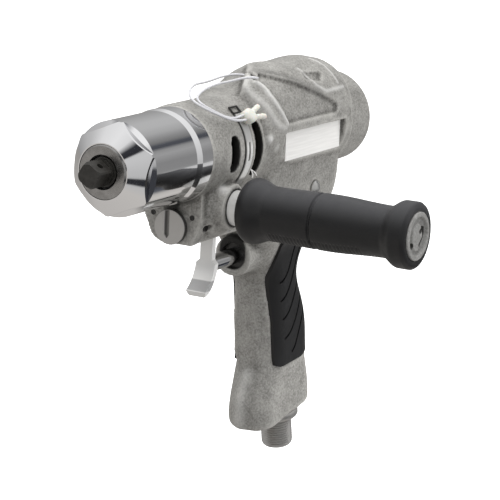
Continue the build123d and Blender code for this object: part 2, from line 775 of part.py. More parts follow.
def make_ring_gear():
    """Internal gear fixed in the housing."""
    stand = planet_turn(0)
    lead = (planet_phase(0) - stand) * PLANET_TEETH / RING_TEETH
    hollow = gear_face(RING_TEETH, GEAR_DEDENDUM, GEAR_ADDENDUM, stand + lead, GEAR_BACKLASH)
    ring = rod_x(MOTOR_R, RING_GEAR_BACK_X, GEAR_FRONT_X)
    length = GEAR_FRONT_X - RING_GEAR_BACK_X + 2 * OVERRUN
    return ring - extrude(across(RING_GEAR_BACK_X - OVERRUN) * hollow, length)


def make_planet_pins():
    """Pins that carry the planets, pressed into the carrier."""
    pins = []
    for k in range(PLANET_COUNT):
        y = GEAR_CENTRES * math.cos(planet_turn(k))
        z = GEAR_CENTRES * math.sin(planet_turn(k))
        pins.append(rod_x(PLANET_PIN_R, GEAR_BACK_X, CARRIER_FRONT_X, y, z))
    return Compound(children=pins)


def make_planet_carrier():
    """Disc on the clutch shaft that holds the planet pins."""
    carrier = tube_x(CARRIER_R, CARRIER_SEAT_R + PRESS_GAP, CARRIER_BACK_X, CARRIER_FRONT_X)
    for k in range(PLANET_COUNT):
        y = GEAR_CENTRES * math.cos(planet_turn(k))
        z = GEAR_CENTRES * math.sin(planet_turn(k))
        hole_r = PLANET_PIN_R + PRESS_GAP
        carrier -= rod_x(hole_r, CARRIER_BACK_X - OVERRUN, CARRIER_FRONT_X + OVERRUN, y, z)
    return carrier


# Vane motor

def make_motor_plate(back):
    """End plate of the motor with a seat for a bearing."""
    plate = tube_x(MOTOR_R, ROTOR_SHAFT_R + MOVE_GAP, back, back + MOTOR_PLATE_WIDTH)
    return plate - rod_x(BEARING_R + PRESS_GAP, back - OVERRUN, back + BEARING_WIDTH)


def make_bearing(back):
    """Rotor bearing, drawn as one plain ring."""
    return tube_x(BEARING_R, ROTOR_SHAFT_R + RUN_GAP, back, back + BEARING_WIDTH)


def make_rotor():
    """Slotted rotor with its shafts and the sun pinion cut on the front end."""
    front_shaft = RING_GEAR_BACK_X + FACE_GAP
    back_shaft = REAR_PLATE_BACK_X + FACE_GAP
    body = turned(
        (back_shaft, 0),
        (back_shaft, ROTOR_SHAFT_R),
        (ROTOR_BACK_X, ROTOR_SHAFT_R),
        (ROTOR_BACK_X, ROTOR_R),
        (ROTOR_FRONT_X, ROTOR_R),
        (ROTOR_FRONT_X, ROTOR_SHAFT_R),
        (front_shaft, ROTOR_SHAFT_R),
        (front_shaft, 0),
    )
    pinion_face = gear_face(SUN_TEETH, GEAR_ADDENDUM, GEAR_DEDENDUM, 0, -GEAR_BACKLASH)
    pinion = extrude(across(front_shaft) * pinion_face, GEAR_FRONT_X - FACE_GAP - front_shaft)
    rotor = body + pinion
    for k in range(VANE_COUNT):
        half = VANE_WIDTH / 2 + VANE_SIDE_GAP
        low = ROTOR_R - VANE_DEPTH - VANE_SIDE_GAP
        slot = slab(ROTOR_BACK_X - OVERRUN, ROTOR_FRONT_X + OVERRUN, -half, half, low, ROTOR_R + OVERRUN)
        rotor -= round_x(slot, 360 * k / VANE_COUNT)
    return rotor


def make_vanes():
    """Vanes, drawn in to the rotor's surface."""
    half = VANE_WIDTH / 2
    vane = slab(ROTOR_BACK_X, ROTOR_FRONT_X, -half, half, ROTOR_R - VANE_DEPTH, ROTOR_R - VANE_SIDE_GAP)
    return Compound(children=[round_x(vane, 360 * k / VANE_COUNT) for k in range(VANE_COUNT)])


def make_liner():
    """Cylinder liner with an eccentric bore and a row of exhaust ports below."""
    liner = rod_x(MOTOR_R, LINER_BACK_X, FRONT_PLATE_BACK_X)
    bore_front = FRONT_PLATE_BACK_X + OVERRUN
    liner -= rod_x(LINER_BORE_R, LINER_BACK_X - OVERRUN, bore_front, 0, LINER_OFFSET)
    span = FRONT_PLATE_BACK_X - LINER_BACK_X
    for k in range(PORT_COUNT):
        x = LINER_BACK_X + span * (k + 1) / (PORT_COUNT + 1)
        liner -= Pos(x, 0, -MOTOR_R) * Cylinder(PORT_R, MOTOR_R)
    return liner


# Housing

def body_section(x, arch_r, arch_z, belly):
    """The motor body's outline at a station: an arch over a round belly."""
    arch = ThreePointArc((arch_r, arch_z), (0, arch_z + arch_r), (-arch_r, arch_z))
    under = ThreePointArc((-arch_r, arch_z), (0, -belly), (arch_r, arch_z))
    return across(x) * make_face(arch + under)


def grip_loft(grow, first=0):
    """The grip as a loft through its sections, each grown by some millimetres."""
    faces = []
    for height, middle, length, width, corner in GRIP_SECTIONS[first:]:
        outline = RectangleRounded(2 * (length + grow), 2 * (width + grow), corner + grow)
        faces.append(Plane((middle, 0, height)) * outline)
    return loft(faces)


def foot_plane():
    """The grip's sloping foot, with the inlet axis pointing out of it."""
    lean = math.radians(GRIP_TILT)
    out = (-math.sin(lean), 0, -math.cos(lean))
    return Plane((GRIP_FOOT_X, 0, GRIP_FOOT_Z), x_dir=(0, 1, 0), z_dir=out)


def make_grip():
    """The pistol grip, cut by its sloping foot and flush with the body's back, its sole rounded."""
    grip = grip_loft(0) - foot_plane() * Box(4 * REACH, 4 * REACH, 4 * REACH, align=LOW)
    grip -= slab(COVER_BACK_X, BODY_BACK_X, -REACH, REACH, GRIP_FOOT_Z - REACH, 0)
    sole = grip.faces().sort_by_distance(foot_plane().origin)[0]
    return fillet(sole.edges(), GRIP_FOOT_ROUND)


def panel_prism(side, gap):
    """The space of one grip panel, seen from the side, shrunk by a gap at its edge."""
    outline = make_face(Polyline(*PANEL_OUTLINE, close=True))
    outline = offset(outline, -gap) if gap else outline
    inner = PANEL_SPINE + gap
    prism = extrude(Plane.XZ * outline, REACH)
    prism = prism if side < 0 else mirror(prism, Plane.XZ)
    half = slab(COVER_BACK_X, 0, side * inner, side * REACH, GRIP_FOOT_Z, 0)
    return prism & half


def groove_bars(side):
    """The curved grooves of one panel, run through sideways."""
    curves = [trace(Spline(*groove), GROOVE_WIDTH) for groove in GROOVES]
    bars = Part() + [extrude(Plane.XZ * curve, REACH) for curve in curves]
    return bars if side < 0 else mirror(bars, Plane.XZ)


def make_panel(side, skin, groove_skin):
    """One rubber grip panel with its curved grooves."""
    panel = skin & panel_prism(side, PANEL_EDGE_GAP)
    return panel - (groove_skin & groove_bars(side))


def grip_between(z, item):
    """One column of the grip's sections, read at a height in between."""
    for upper, lower in zip(GRIP_SECTIONS, GRIP_SECTIONS[1:]):
        if upper[0] >= z >= lower[0]:
            share = (upper[0] - z) / (upper[0] - lower[0])
            return upper[item] + share * (lower[item] - upper[item])
    return GRIP_SECTIONS[-1][item]


def make_block():
    """Front block below the barrel: selector in front, trigger pivot behind."""
    outline = Polyline(
        (-BLOCK_HALF_WIDTH, 0),
        (-BLOCK_HALF_WIDTH, BLOCK_KNEE_Z),
        (-BLOCK_FOOT_HALF_WIDTH, BLOCK_BOTTOM_Z),
        (BLOCK_FOOT_HALF_WIDTH, BLOCK_BOTTOM_Z),
        (BLOCK_HALF_WIDTH, BLOCK_KNEE_Z),
        (BLOCK_HALF_WIDTH, 0),
        close=True,
    )
    section = make_face(outline)
    round_corner = [corner for corner in section.vertices() if corner.X < 0 and corner.Y < BLOCK_KNEE_Z]
    section = fillet(round_corner, BLOCK_ROUND_R)
    return extrude(across(BLOCK_BACK_X) * section, BLOCK_FRONT_X - BLOCK_BACK_X)


def make_handle_boss():
    """Boss for the side handle, flared at its root."""
    root = sideways(HANDLE_X, 0, HANDLE_Z) * Cylinder(HANDLE_BOSS_ROOT_R, BLOCK_HALF_WIDTH, align=LOW)
    flare = sideways(HANDLE_X, BLOCK_HALF_WIDTH, HANDLE_Z) * Cone(
        HANDLE_BOSS_ROOT_R, HANDLE_BOSS_R, HANDLE_BOSS_FLARE, align=LOW
    )
    return root + flare + rod_y(HANDLE_BOSS_R, 0, HANDLE_FACE_Y, HANDLE_X, HANDLE_Z)


def window_cut(x, width, height):
    """A round-ended window through the barrel's left wall."""
    slot = sideways(x, BORE_R - WINDOW_DEPTH, 0) * Rot(0, 0, 90) * SlotOverall(height, width)
    return extrude(slot, BARREL_R)


def arch_cylinder(depth):
    """The hump's round top, some millimetres below its surface."""
    arch_r, arch_z = BODY_SECTIONS[4][1:3]
    return rod_x(arch_r - depth, BODY_BACK_X - OVERRUN, BARREL_FRONT_X, 0, arch_z)


def flank_recess(corners, corner_r, depth):
    """A recess of even depth in the left flank of the hump, seen square to the flank."""
    plane = Plane(FLANK_MIDDLE, x_dir=(-1, 0, 0), z_dir=FLANK_NORMAL)
    rise = plane.y_dir.Z / abs(plane.y_dir.Z)
    outline = make_face(Polyline(*[(back, rise * up) for back, up in corners], close=True))
    outline = fillet(outline.vertices(), corner_r)
    return extrude(plane.offset(-REACH / 2) * outline, REACH) - arch_cylinder(depth)


def make_body():
    """Motor body with its hump and the web that carries the cord hole."""
    body = loft([body_section(*row) for row in BODY_SECTIONS])
    web = loft([body_section(*row) for row in WEB_SECTIONS])
    wall = Plane(WEB_WALL_POINT, z_dir=WEB_WALL_NORMAL)
    web -= wall * Box(4 * REACH, 4 * REACH, 4 * REACH, align=LOW)
    return body + web


def make_housing(grip_core):
    """The casting: barrel, motor body, front block, handle boss, throttle boss and pistol grip."""
    barrel = turned(
        (SPIGOT_FRONT_X, SPIGOT_BORE_R),
        (SPIGOT_FRONT_X, SPIGOT_R),
        (BARREL_FRONT_X - PRESS_GAP, SPIGOT_R),
        (BARREL_FRONT_X - PRESS_GAP, BARREL_LIP_R),
        (BARREL_FRONT_X - BARREL_LIP_LENGTH, BARREL_R),
        (BODY_FRONT_X, BARREL_R),
        (BODY_FRONT_X, SPIGOT_BORE_R),
    )
    casting = barrel + make_body() + make_block() + make_handle_boss() + make_grip()
    boss_back = THROTTLE_BOSS_FRONT_X - THROTTLE_BOSS_LENGTH
    casting += rod_x(THROTTLE_BOSS_R, boss_back, THROTTLE_BOSS_FRONT_X, 0, THROTTLE_Z)

    # What is cut away
    bore = rod_x(BORE_R, BODY_BACK_X - OVERRUN, BARREL_FRONT_X - BORE_STEP_DEPTH)
    nose_bore = rod_x(SPIGOT_BORE_R, BODY_BACK_X, SPIGOT_FRONT_X + OVERRUN)
    seat_front = BODY_BACK_X + SEAL_RING_WIDTH
    seal_seat = rod_x(SEAL_RING_R + PRESS_GAP, BODY_BACK_X - OVERRUN, seat_front)
    casting -= bore
    casting -= nose_bore
    casting -= seal_seat
    casting -= window_cut(FRONT_WINDOW_X, FRONT_WINDOW_WIDTH, FRONT_WINDOW_HEIGHT)
    casting -= window_cut(REAR_WINDOW_X, REAR_WINDOW_WIDTH, REAR_WINDOW_HEIGHT)
    for side in (1, -1):
        casting -= slab(
            BODY_FLAT_BACK_X,
            BODY_FLAT_FRONT_X,
            side * BODY_FLAT_Y,
            side * REACH,
            BODY_FLAT_BOTTOM_Z,
            BODY_FLAT_TOP_Z,
        )
        casting -= panel_prism(side, 0) - grip_core
    casting -= slab(
        PLATE_BACK_X - PLATE_MARGIN,
        PLATE_FRONT_X + PLATE_MARGIN,
        BODY_FLAT_Y - PLATE_THICK,
        REACH,
        PLATE_BOTTOM_Z - PLATE_MARGIN,
        PLATE_TOP_Z + PLATE_MARGIN,
    )
    casting -= flank_recess(FLANK_CORNERS, FLANK_CORNER_R, FLANK_DEPTH)
    casting -= flank_recess(POCKET_CORNERS, POCKET_CORNER_R, POCKET_DEPTH)
    cord_hole = Plane(CORD_HOLE_MOUTH, z_dir=CORD_HOLE_RUN)
    casting -= cord_hole * Cylinder(CORD_HOLE_R, 2 * REACH)
    casting -= rod_y(PLUG_SHANK_R + PRESS_GAP, 0, REACH, PLUG_X, PLUG_Z)
    casting -= rod_y(PLUG_R + PLUG_SEAT_MARGIN, plug_face(), REACH, PLUG_X, PLUG_Z)

    # Selector, detent, handle stud and trigger
    spool_end = BLOCK_FRONT_X - SELECTOR_LENGTH - FACE_GAP
    casting -= rod_x(SELECTOR_R + RUN_GAP, spool_end, BLOCK_FRONT_X + OVERRUN, 0, SELECTOR_Z)
    casting -= rod_y(DETENT_HOLE_R, 0, REACH, DETENT_X, SELECTOR_Z)
    stud_end = HANDLE_FACE_Y - HANDLE_STUD_LENGTH - FACE_GAP
    casting -= rod_y(HANDLE_STUD_R + PRESS_GAP, stud_end, REACH, HANDLE_X, HANDLE_Z)
    half = TRIGGER_NECK_WIDTH / 2 + TRIGGER_SLOT_SIDE_GAP
    room = TRIGGER_EYE_R + MOVE_GAP
    casting -= slab(
        TRIGGER_PIVOT_X - room - TRIGGER_SLOT_ROOM,
        TRIGGER_PIVOT_X + room + OVERRUN,
        -half,
        half,
        TRIGGER_PIVOT_Z + room,
        BLOCK_BOTTOM_Z - OVERRUN,
    )
    casting -= rod_y(TRIGGER_PIN_R + PRESS_GAP, -REACH, REACH, TRIGGER_PIVOT_X, TRIGGER_PIVOT_Z)
    for side in (1, -1):
        turn = math.radians(90 + side * INDEX_DOT_SPREAD)
        y = INDEX_DOT_PITCH_R * math.cos(turn)
        z = SELECTOR_Z + INDEX_DOT_PITCH_R * math.sin(turn)
        casting -= rod_x(INDEX_DOT_R, BLOCK_FRONT_X - INDEX_DOT_DEPTH, BLOCK_FRONT_X + OVERRUN, y, z)

    # Air ways: throttle bore, inlet from the foot, feed to the motor and the exhaust
    throttle_mouth = THROTTLE_BOSS_FRONT_X + OVERRUN
    casting -= rod_x(THROTTLE_BUSH_R + PRESS_GAP, THROTTLE_BACK_X, throttle_mouth, 0, THROTTLE_Z)
    inlet = foot_plane()
    rise = (THROTTLE_Z - GRIP_FOOT_Z) / math.cos(math.radians(GRIP_TILT))
    casting -= inlet * Pos(0, 0, -rise) * Cylinder(INLET_BORE_R, rise, align=LOW)
    casting -= inlet * Pos(0, 0, -INLET_SHANK_LENGTH - FACE_GAP) * Cylinder(
        INLET_SHANK_R + PRESS_GAP, REACH, align=LOW
    )
    casting -= Pos(FEED_X, 0, THROTTLE_Z) * Cylinder(FEED_R, -THROTTLE_Z, align=LOW)
    casting -= muffler_axis() * Pos(0, 0, -MUFFLER_CAVITY) * Cylinder(
        MUFFLER_R + PRESS_GAP, MUFFLER_CAVITY + REACH, align=LOW
    )
    return casting


def plug_face():
    """How far out the seat of the side plug lies."""
    return grip_between(PLUG_Z, 3) - PLUG_SEAT_DEPTH


def muffler_axis():
    """Axis of the exhaust muffler in the grip's front lobe, square to the foot."""
    lean = math.radians(GRIP_TILT)
    ahead = MUFFLER_X - GRIP_FOOT_X
    out = (-math.sin(lean), 0, -math.cos(lean))
    return Plane((MUFFLER_X, 0, GRIP_FOOT_Z - ahead * math.tan(lean)), x_dir=(0, 1, 0), z_dir=out)


# What is fastened to the housing

def make_rear_cover():
    """Round rear cover, screwed into the motor bore, with pin-spanner holes in its back."""
    spigot_r = MOTOR_R - PRESS_GAP
    cavity_r = spigot_r - COVER_SPIGOT_WALL
    spigot_front = BODY_BACK_X + COVER_SPIGOT_LENGTH
    floor_x = COVER_BACK_X + COVER_WALL
    outline = Polyline(
        (COVER_BACK_X, 0),
        (COVER_BACK_X, COVER_BACK_R),
        (BODY_BACK_X, COVER_R),
        (BODY_BACK_X, spigot_r),
        (spigot_front, spigot_r),
        (spigot_front, cavity_r),
        (floor_x, cavity_r),
        (floor_x, 0),
        close=True,
    )
    face = make_face(outline)
    rim = face.vertices().sort_by_distance((COVER_BACK_X, COVER_BACK_R))[0]
    cover = revolve(fillet([rim], COVER_ROUND), Axis.X)
    for side in (1, -1):
        hole_end = COVER_BACK_X + SPANNER_HOLE_DEPTH
        cover -= rod_x(SPANNER_HOLE_R, COVER_BACK_X - OVERRUN, hole_end, side * SPANNER_HOLE_PITCH_R, 0)
    return cover


def make_cover_seal():
    """Flat seal ring between housing and rear cover."""
    return tube_x(SEAL_RING_R, MOTOR_R + PRESS_GAP, BODY_BACK_X + PRESS_GAP, BODY_BACK_X + SEAL_RING_WIDTH)


def make_nameplate():
    """Bare nameplate in its recess on the left side."""
    return slab(
        PLATE_BACK_X,
        PLATE_FRONT_X,
        BODY_FLAT_Y - PLATE_THICK,
        BODY_FLAT_Y,
        PLATE_BOTTOM_Z,
        PLATE_TOP_Z,
    )


def make_side_plug():
    """Domed plug screwed into an air way below the nameplate."""
    face = plug_face()
    head = sideways(PLUG_X, face, PLUG_Z) * Cylinder(PLUG_R, PLUG_RIM, align=LOW)
    rise = math.sqrt(PLUG_DOME_R ** 2 - PLUG_R ** 2)
    dome = Pos(PLUG_X, face + PLUG_RIM - rise, PLUG_Z) * Sphere(PLUG_DOME_R)
    dome &= rod_y(PLUG_R, face + PLUG_RIM, REACH, PLUG_X, PLUG_Z)
    return head + dome + rod_y(PLUG_SHANK_R, face - PLUG_SHANK_LENGTH, face, PLUG_X, PLUG_Z)


def make_window_band():
    """Steel strap round the barrel between the windows, with a slot in its middle."""
    half = BAND_WIDTH / 2
    strap = tube_x(BAND_R + BAND_THICK, BAND_R, BAND_X - half, BAND_X + half)
    sector = make_face(
        Polyline(
            (0, 0),
            (REACH * math.cos(math.radians(BAND_START)), REACH * math.sin(math.radians(BAND_START))),
            (2 * REACH, 0),
            (REACH * math.cos(math.radians(BAND_END)), REACH * math.sin(math.radians(BAND_END))),
            close=True,
        )
    )
    strap &= extrude(across(BAND_X - BAND_WIDTH) * sector, 2 * BAND_WIDTH)
    slot = sideways(BAND_X, 0, 0) * Rot(0, 0, 90) * SlotOverall(BAND_SLOT_LENGTH, BAND_SLOT_WIDTH)
    boss = rod_y(HANDLE_BOSS_ROOT_R + FACE_GAP, 0, REACH, HANDLE_X, HANDLE_Z)
    return strap - extrude(slot, REACH) - boss


def make_band_buckle():
    """Black wire buckle at the upper end of the band."""
    radius = BAND_R + BUCKLE_WIRE_R
    half = BAND_WIDTH / 2 - BUCKLE_WIRE_R
    low = BUCKLE_WIRE_R + PRESS_GAP
    bars = [
        (-half, low, half, low),
        (half, low, half, low + BUCKLE_LENGTH),
        (half, low + BUCKLE_LENGTH, -half, low + BUCKLE_LENGTH),
        (-half, low + BUCKLE_LENGTH, -half, low),
    ]
    wire = None
    for x0, s0, x1, s1 in bars:
        bar = rod_between(Vector(x0, 0, s0), Vector(x1, 0, s1), BUCKLE_WIRE_R)
        wire = bar if wire is None else wire + bar
        wire += Pos(x1, 0, s1) * Sphere(BUCKLE_WIRE_R)
    return round_x(Pos(BAND_X, radius, 0) * wire, BAND_END)


def rod_between(start, end, radius):
    """A straight round bar from one point to another."""
    run = end - start
    return Plane(start, z_dir=run) * Cylinder(radius, run.length, align=LOW)


# Front block pieces

def make_selector():
    """Change-over valve: slotted disc in front, spool with a retaining groove and a port behind."""
    front = BLOCK_FRONT_X + FACE_GAP + SELECTOR_DISC_WIDTH
    disc = rod_x(SELECTOR_DISC_R, BLOCK_FRONT_X + FACE_GAP, front, 0, SELECTOR_Z)
    spool = rod_x(SELECTOR_R, BLOCK_FRONT_X - SELECTOR_LENGTH, BLOCK_FRONT_X + FACE_GAP, 0, SELECTOR_Z)
    half = SELECTOR_GROOVE_WIDTH / 2
    groove_r = SELECTOR_R + OVERRUN
    groove = tube_x(groove_r, SELECTOR_GROOVE_R, DETENT_X - half, DETENT_X + half, 0, SELECTOR_Z)
    point = SELECTOR_DISC_R - SELECTOR_SLOT_POINT
    slot = Polyline(
        (-SELECTOR_SLOT_WIDTH / 2, SELECTOR_DISC_R + OVERRUN),
        (-SELECTOR_SLOT_WIDTH / 2, -point + SELECTOR_SLOT_POINT),
        (0, -point),
        (SELECTOR_SLOT_WIDTH / 2, -point + SELECTOR_SLOT_POINT),
        (SELECTOR_SLOT_WIDTH / 2, SELECTOR_DISC_R + OVERRUN),
        close=True,
    )
    slot_cut = extrude(across(front - SELECTOR_SLOT_DEPTH, 0, SELECTOR_Z) * make_face(slot), REACH)
    port_x = BLOCK_FRONT_X - SELECTOR_LENGTH + 2 * SELECTOR_PORT_R
    port = rod_y(SELECTOR_PORT_R, -REACH, REACH, port_x, SELECTOR_Z)
    return disc + spool - groove - slot_cut - port


def detent_ball_y():
    """Where the detent ball stands, just clear of the selector's groove."""
    return SELECTOR_GROOVE_R + FACE_GAP + DETENT_BALL_R


def make_detent_ball():
    """Ball that holds the selector in its place."""
    return ball(DETENT_BALL_R, DETENT_X, detent_ball_y(), SELECTOR_Z)


def detent_screw_y():
    """Outer end of the detent's grub screw, a little inside the block's sloping side."""
    share = (BLOCK_KNEE_Z - SELECTOR_Z) / (BLOCK_KNEE_Z - BLOCK_BOTTOM_Z)
    side = BLOCK_HALF_WIDTH - share * (BLOCK_HALF_WIDTH - BLOCK_FOOT_HALF_WIDTH)
    return side - DETENT_SCREW_SET


def make_detent_screw():
    """Grub screw that closes the detent's hole."""
    outer = detent_screw_y()
    return rod_y(DETENT_HOLE_R - PRESS_GAP, outer - DETENT_SCREW_LENGTH, outer, DETENT_X, SELECTOR_Z)


def make_detent_spring():
    """Spring between grub screw and ball."""
    low = detent_ball_y() + DETENT_BALL_R * DETENT_SPRING_SEAT
    high = detent_screw_y() - DETENT_SCREW_LENGTH
    radius = DETENT_HOLE_R - 2 * DETENT_SPRING_WIRE_R - DETENT_SPRING_SIDE_GAP
    spring = coil(radius, DETENT_SPRING_WIRE_R, DETENT_SPRING_TURNS, high - low)
    return sideways(DETENT_X, low, SELECTOR_Z) * spring


def make_trigger():
    """Trigger lever: pivot eye, narrow neck and a wider finger pad that curls forward."""
    pivot = (TRIGGER_PIVOT_X, TRIGGER_PIVOT_Z)
    knee = (TRIGGER_PIVOT_X, TRIGGER_KNEE_Z)
    tip = (TRIGGER_TIP_X, TRIGGER_TIP_Z)
    line = Line(pivot, knee) + TangentArc(knee, tip, tangent=(0, -1))
    strip = extrude(Plane.XZ * trace(line, TRIGGER_THICK), TRIGGER_PAD_WIDTH, both=True)
    neck = TRIGGER_NECK_WIDTH / 2
    pad = TRIGGER_PAD_WIDTH / 2
    low = TRIGGER_TIP_Z - TRIGGER_THICK
    front = make_face(
        Polyline(
            (-neck, TRIGGER_PIVOT_Z),
            (-neck, TRIGGER_NECK_END_Z),
            (-pad, TRIGGER_PAD_TOP_Z),
            (-pad, low),
            (pad, low),
            (pad, TRIGGER_PAD_TOP_Z),
            (neck, TRIGGER_NECK_END_Z),
            (neck, TRIGGER_PIVOT_Z),
            close=True,
        )
    )
    front = fillet(front.vertices().sort_by(Axis.Y)[0:2], pad - TRIGGER_PAD_TIP_FLAT / 2)
    lever = strip & extrude(across(TRIGGER_PIVOT_X - REACH) * front, 2 * REACH)
    lever += rod_y(TRIGGER_EYE_R, -neck, neck, *pivot)
    return lever - rod_y(TRIGGER_PIN_R + RUN_GAP, -REACH, REACH, *pivot)


def make_trigger_pin():
    """Pivot pin of the trigger, pressed through the block."""
    half = TRIGGER_PIN_LENGTH / 2
    return rod_y(TRIGGER_PIN_R, -half, half, TRIGGER_PIVOT_X, TRIGGER_PIVOT_Z)


# Throttle

def make_plunger():
    """Throttle plunger with the valve head at its inner end."""
    head_front = THROTTLE_BUSH_BACK_X - FACE_GAP
    outline = Polyline(
        (VALVE_HEAD_BACK_X, 0),
        (VALVE_HEAD_BACK_X, VALVE_HEAD_R),
        (head_front, VALVE_HEAD_R),
        (head_front, PLUNGER_R),
        (PLUNGER_FRONT_X - PLUNGER_BEVEL, PLUNGER_R),
        (PLUNGER_FRONT_X, PLUNGER_R - PLUNGER_BEVEL),
        (PLUNGER_FRONT_X, 0),
        close=True,
    )
    return Pos(0, 0, THROTTLE_Z) * revolve(make_face(outline), Axis.X)


def make_throttle_bush():
    """Guide of the plunger in the grip's front boss, with a port to the motor feed."""
    bush = tube_x(
        THROTTLE_BUSH_R,
        PLUNGER_R + RUN_GAP,
        THROTTLE_BUSH_BACK_X,
        THROTTLE_BUSH_FRONT_X,
        0,
        THROTTLE_Z,
    )
    return bush - Pos(FEED_X, 0, THROTTLE_Z) * Cylinder(FEED_PORT_R, REACH, align=LOW)


def make_throttle_spring():
    """Return spring between the valve head and the end of its bore."""
    back = THROTTLE_BACK_X + PRESS_GAP
    length = VALVE_HEAD_BACK_X - FACE_GAP - back
    spring = coil(THROTTLE_SPRING_R, THROTTLE_SPRING_WIRE_R, THROTTLE_SPRING_TURNS, length)
    return across(back, 0, THROTTLE_Z) * spring


# Air inlet and exhaust

def make_inlet_nipple():
    """Air inlet: shank in the grip, round flange and a pipe thread drawn as a plain cylinder."""
    end = INLET_FLANGE_WIDTH + INLET_THREAD_LENGTH
    outline = Polyline(
        (INLET_BORE_R, -INLET_SHANK_LENGTH),
        (INLET_SHANK_R, -INLET_SHANK_LENGTH),
        (INLET_SHANK_R, 0),
        (INLET_FLANGE_R - INLET_CHAMFER, 0),
        (INLET_FLANGE_R, INLET_CHAMFER),
        (INLET_FLANGE_R, INLET_FLANGE_WIDTH - INLET_CHAMFER),
        (INLET_FLANGE_R - INLET_CHAMFER, INLET_FLANGE_WIDTH),
        (INLET_THREAD_R, INLET_FLANGE_WIDTH),
        (INLET_THREAD_R, end),
        (INLET_BORE_R, end),
        close=True,
    )
    return foot_plane() * revolve(Plane.XZ * make_face(outline), Axis.Z)


def make_inlet_strainer():
    """Wire-cloth cup in the nipple's bore, drawn as a thin cup."""
    radius = INLET_BORE_R - PRESS_GAP
    cup = Cylinder(radius, STRAINER_LENGTH, align=LOW)
    cup -= Pos(0, 0, STRAINER_WALL) * Cylinder(radius - STRAINER_WALL, STRAINER_LENGTH, align=LOW)
    return foot_plane() * Pos(0, 0, -INLET_SHANK_LENGTH) * cup


def make_muffler():
    """Exhaust muffler insert in the grip's front lobe."""
    plug = Cylinder(MUFFLER_R, MUFFLER_LENGTH, align=LOW)
    for k in range(MUFFLER_HOLE_COUNT):
        turn = math.tau * k / MUFFLER_HOLE_COUNT
        y = MUFFLER_HOLE_PITCH_R * math.cos(turn)
        x = MUFFLER_HOLE_PITCH_R * math.sin(turn)
        plug -= Pos(y, x, 0) * Cylinder(MUFFLER_HOLE_R, 3 * MUFFLER_LENGTH)
    return muffler_axis() * Pos(0, 0, -MUFFLER_LENGTH - MUFFLER_SET_BACK) * plug


# Side handle

def make_handle_stud():
    """Threaded stud, collar and core of the side handle, as one turned piece."""
    core_end = HANDLE_END_Y - HANDLE_END_DEPTH
    return Pos(HANDLE_X, 0, HANDLE_Z) * Rot(0, 0, 90) * turned(
        (HANDLE_FACE_Y - HANDLE_STUD_LENGTH, 0),
        (HANDLE_FACE_Y - HANDLE_STUD_LENGTH, HANDLE_STUD_R),
        (HANDLE_FACE_Y, HANDLE_STUD_R),
        (HANDLE_FACE_Y, HANDLE_COLLAR_R),
        (HANDLE_GRIP_Y, HANDLE_COLLAR_R),
        (HANDLE_GRIP_Y, HANDLE_CORE_R),
        (core_end, HANDLE_CORE_R),
        (core_end, 0),
    )


def make_handle_grip():
    """Rubber grip, flanged at both ends, with one ring groove."""
    bore = HANDLE_CORE_R + PRESS_GAP
    seat = HANDLE_END_R + PRESS_GAP
    near = HANDLE_GRIP_Y
    far = HANDLE_END_Y
    first_foot = (near + HANDLE_NEAR_FOOT, HANDLE_NEAR_WAIST_R)
    last_foot = (far - HANDLE_FAR_FOOT, HANDLE_FAR_WAIST_R)
    first_edge = (near + HANDLE_NEAR_EDGE, HANDLE_FLANGE_R)
    last_edge = (far - HANDLE_FAR_EDGE, HANDLE_FLANGE_R)
    belly = (near + HANDLE_BELLY_SET, HANDLE_GRIP_R)
    level = [(1, 0), (1, 0)]
    outline = Spline(first_edge, first_foot, tangents=level)
    outline += Spline(first_foot, belly, last_foot, tangents=level)
    outline += Spline(last_foot, last_edge, tangents=level)
    outline += Polyline(
        last_edge,
        (far - HANDLE_RIM_BEVEL, HANDLE_FLANGE_R),
        (far, HANDLE_FLANGE_R - HANDLE_RIM_BEVEL),
        (far, seat),
        (far - HANDLE_END_DEPTH, seat),
        (far - HANDLE_END_DEPTH, bore),
        (near, bore),
        (near, HANDLE_FLANGE_R - HANDLE_NEAR_BEVEL_RISE),
        (near + HANDLE_RIM_BEVEL, HANDLE_FLANGE_R),
        first_edge,
    )
    grip = revolve(make_face(outline), Axis.X)
    groove_y = near + HANDLE_GROOVE_SET
    groove = tube_x(
        HANDLE_FLANGE_R,
        HANDLE_GRIP_R - HANDLE_GROOVE_DEPTH,
        groove_y - HANDLE_GROOVE_WIDTH / 2,
        groove_y + HANDLE_GROOVE_WIDTH / 2,
    )
    return Pos(HANDLE_X, 0, HANDLE_Z) * Rot(0, 0, 90) * (grip - groove)


def make_handle_cap():
    """Bright end cap of the side handle, dished, with a small hole."""
    low = HANDLE_END_Y - HANDLE_END_DEPTH
    high = HANDLE_END_Y + HANDLE_END_PROUD
    cap = rod_y(HANDLE_END_R, low, high, HANDLE_X, HANDLE_Z)
    cap -= rod_y(HANDLE_END_RECESS_R, high - HANDLE_END_RECESS_DEPTH, high + OVERRUN, HANDLE_X, HANDLE_Z)
    hub_z = HANDLE_Z + HANDLE_END_HUB_SHIFT
    cap += rod_y(HANDLE_END_HUB_R, high - HANDLE_END_HUB_HEIGHT, high, HANDLE_X, hub_z)
    hole_end = high - HANDLE_END_HOLE_DEPTH
    return cap - rod_y(HANDLE_END_HOLE_R, hole_end, high + OVERRUN, HANDLE_X, hub_z)


# Seal and cord

def seal_plane():
    """The seal's middle: X forward, the other axes along and square to the barrel's surface."""
    turn = math.radians(SEAL_TURN)
    radius = BAND_R + BAND_THICK + SEAL_LIFT + SEAL_R
    return Plane(
        (SEAL_X, radius * math.cos(turn), radius * math.sin(turn)),
        x_dir=(0, -math.sin(turn), math.cos(turn)),
        z_dir=(1, 0, 0),
    )


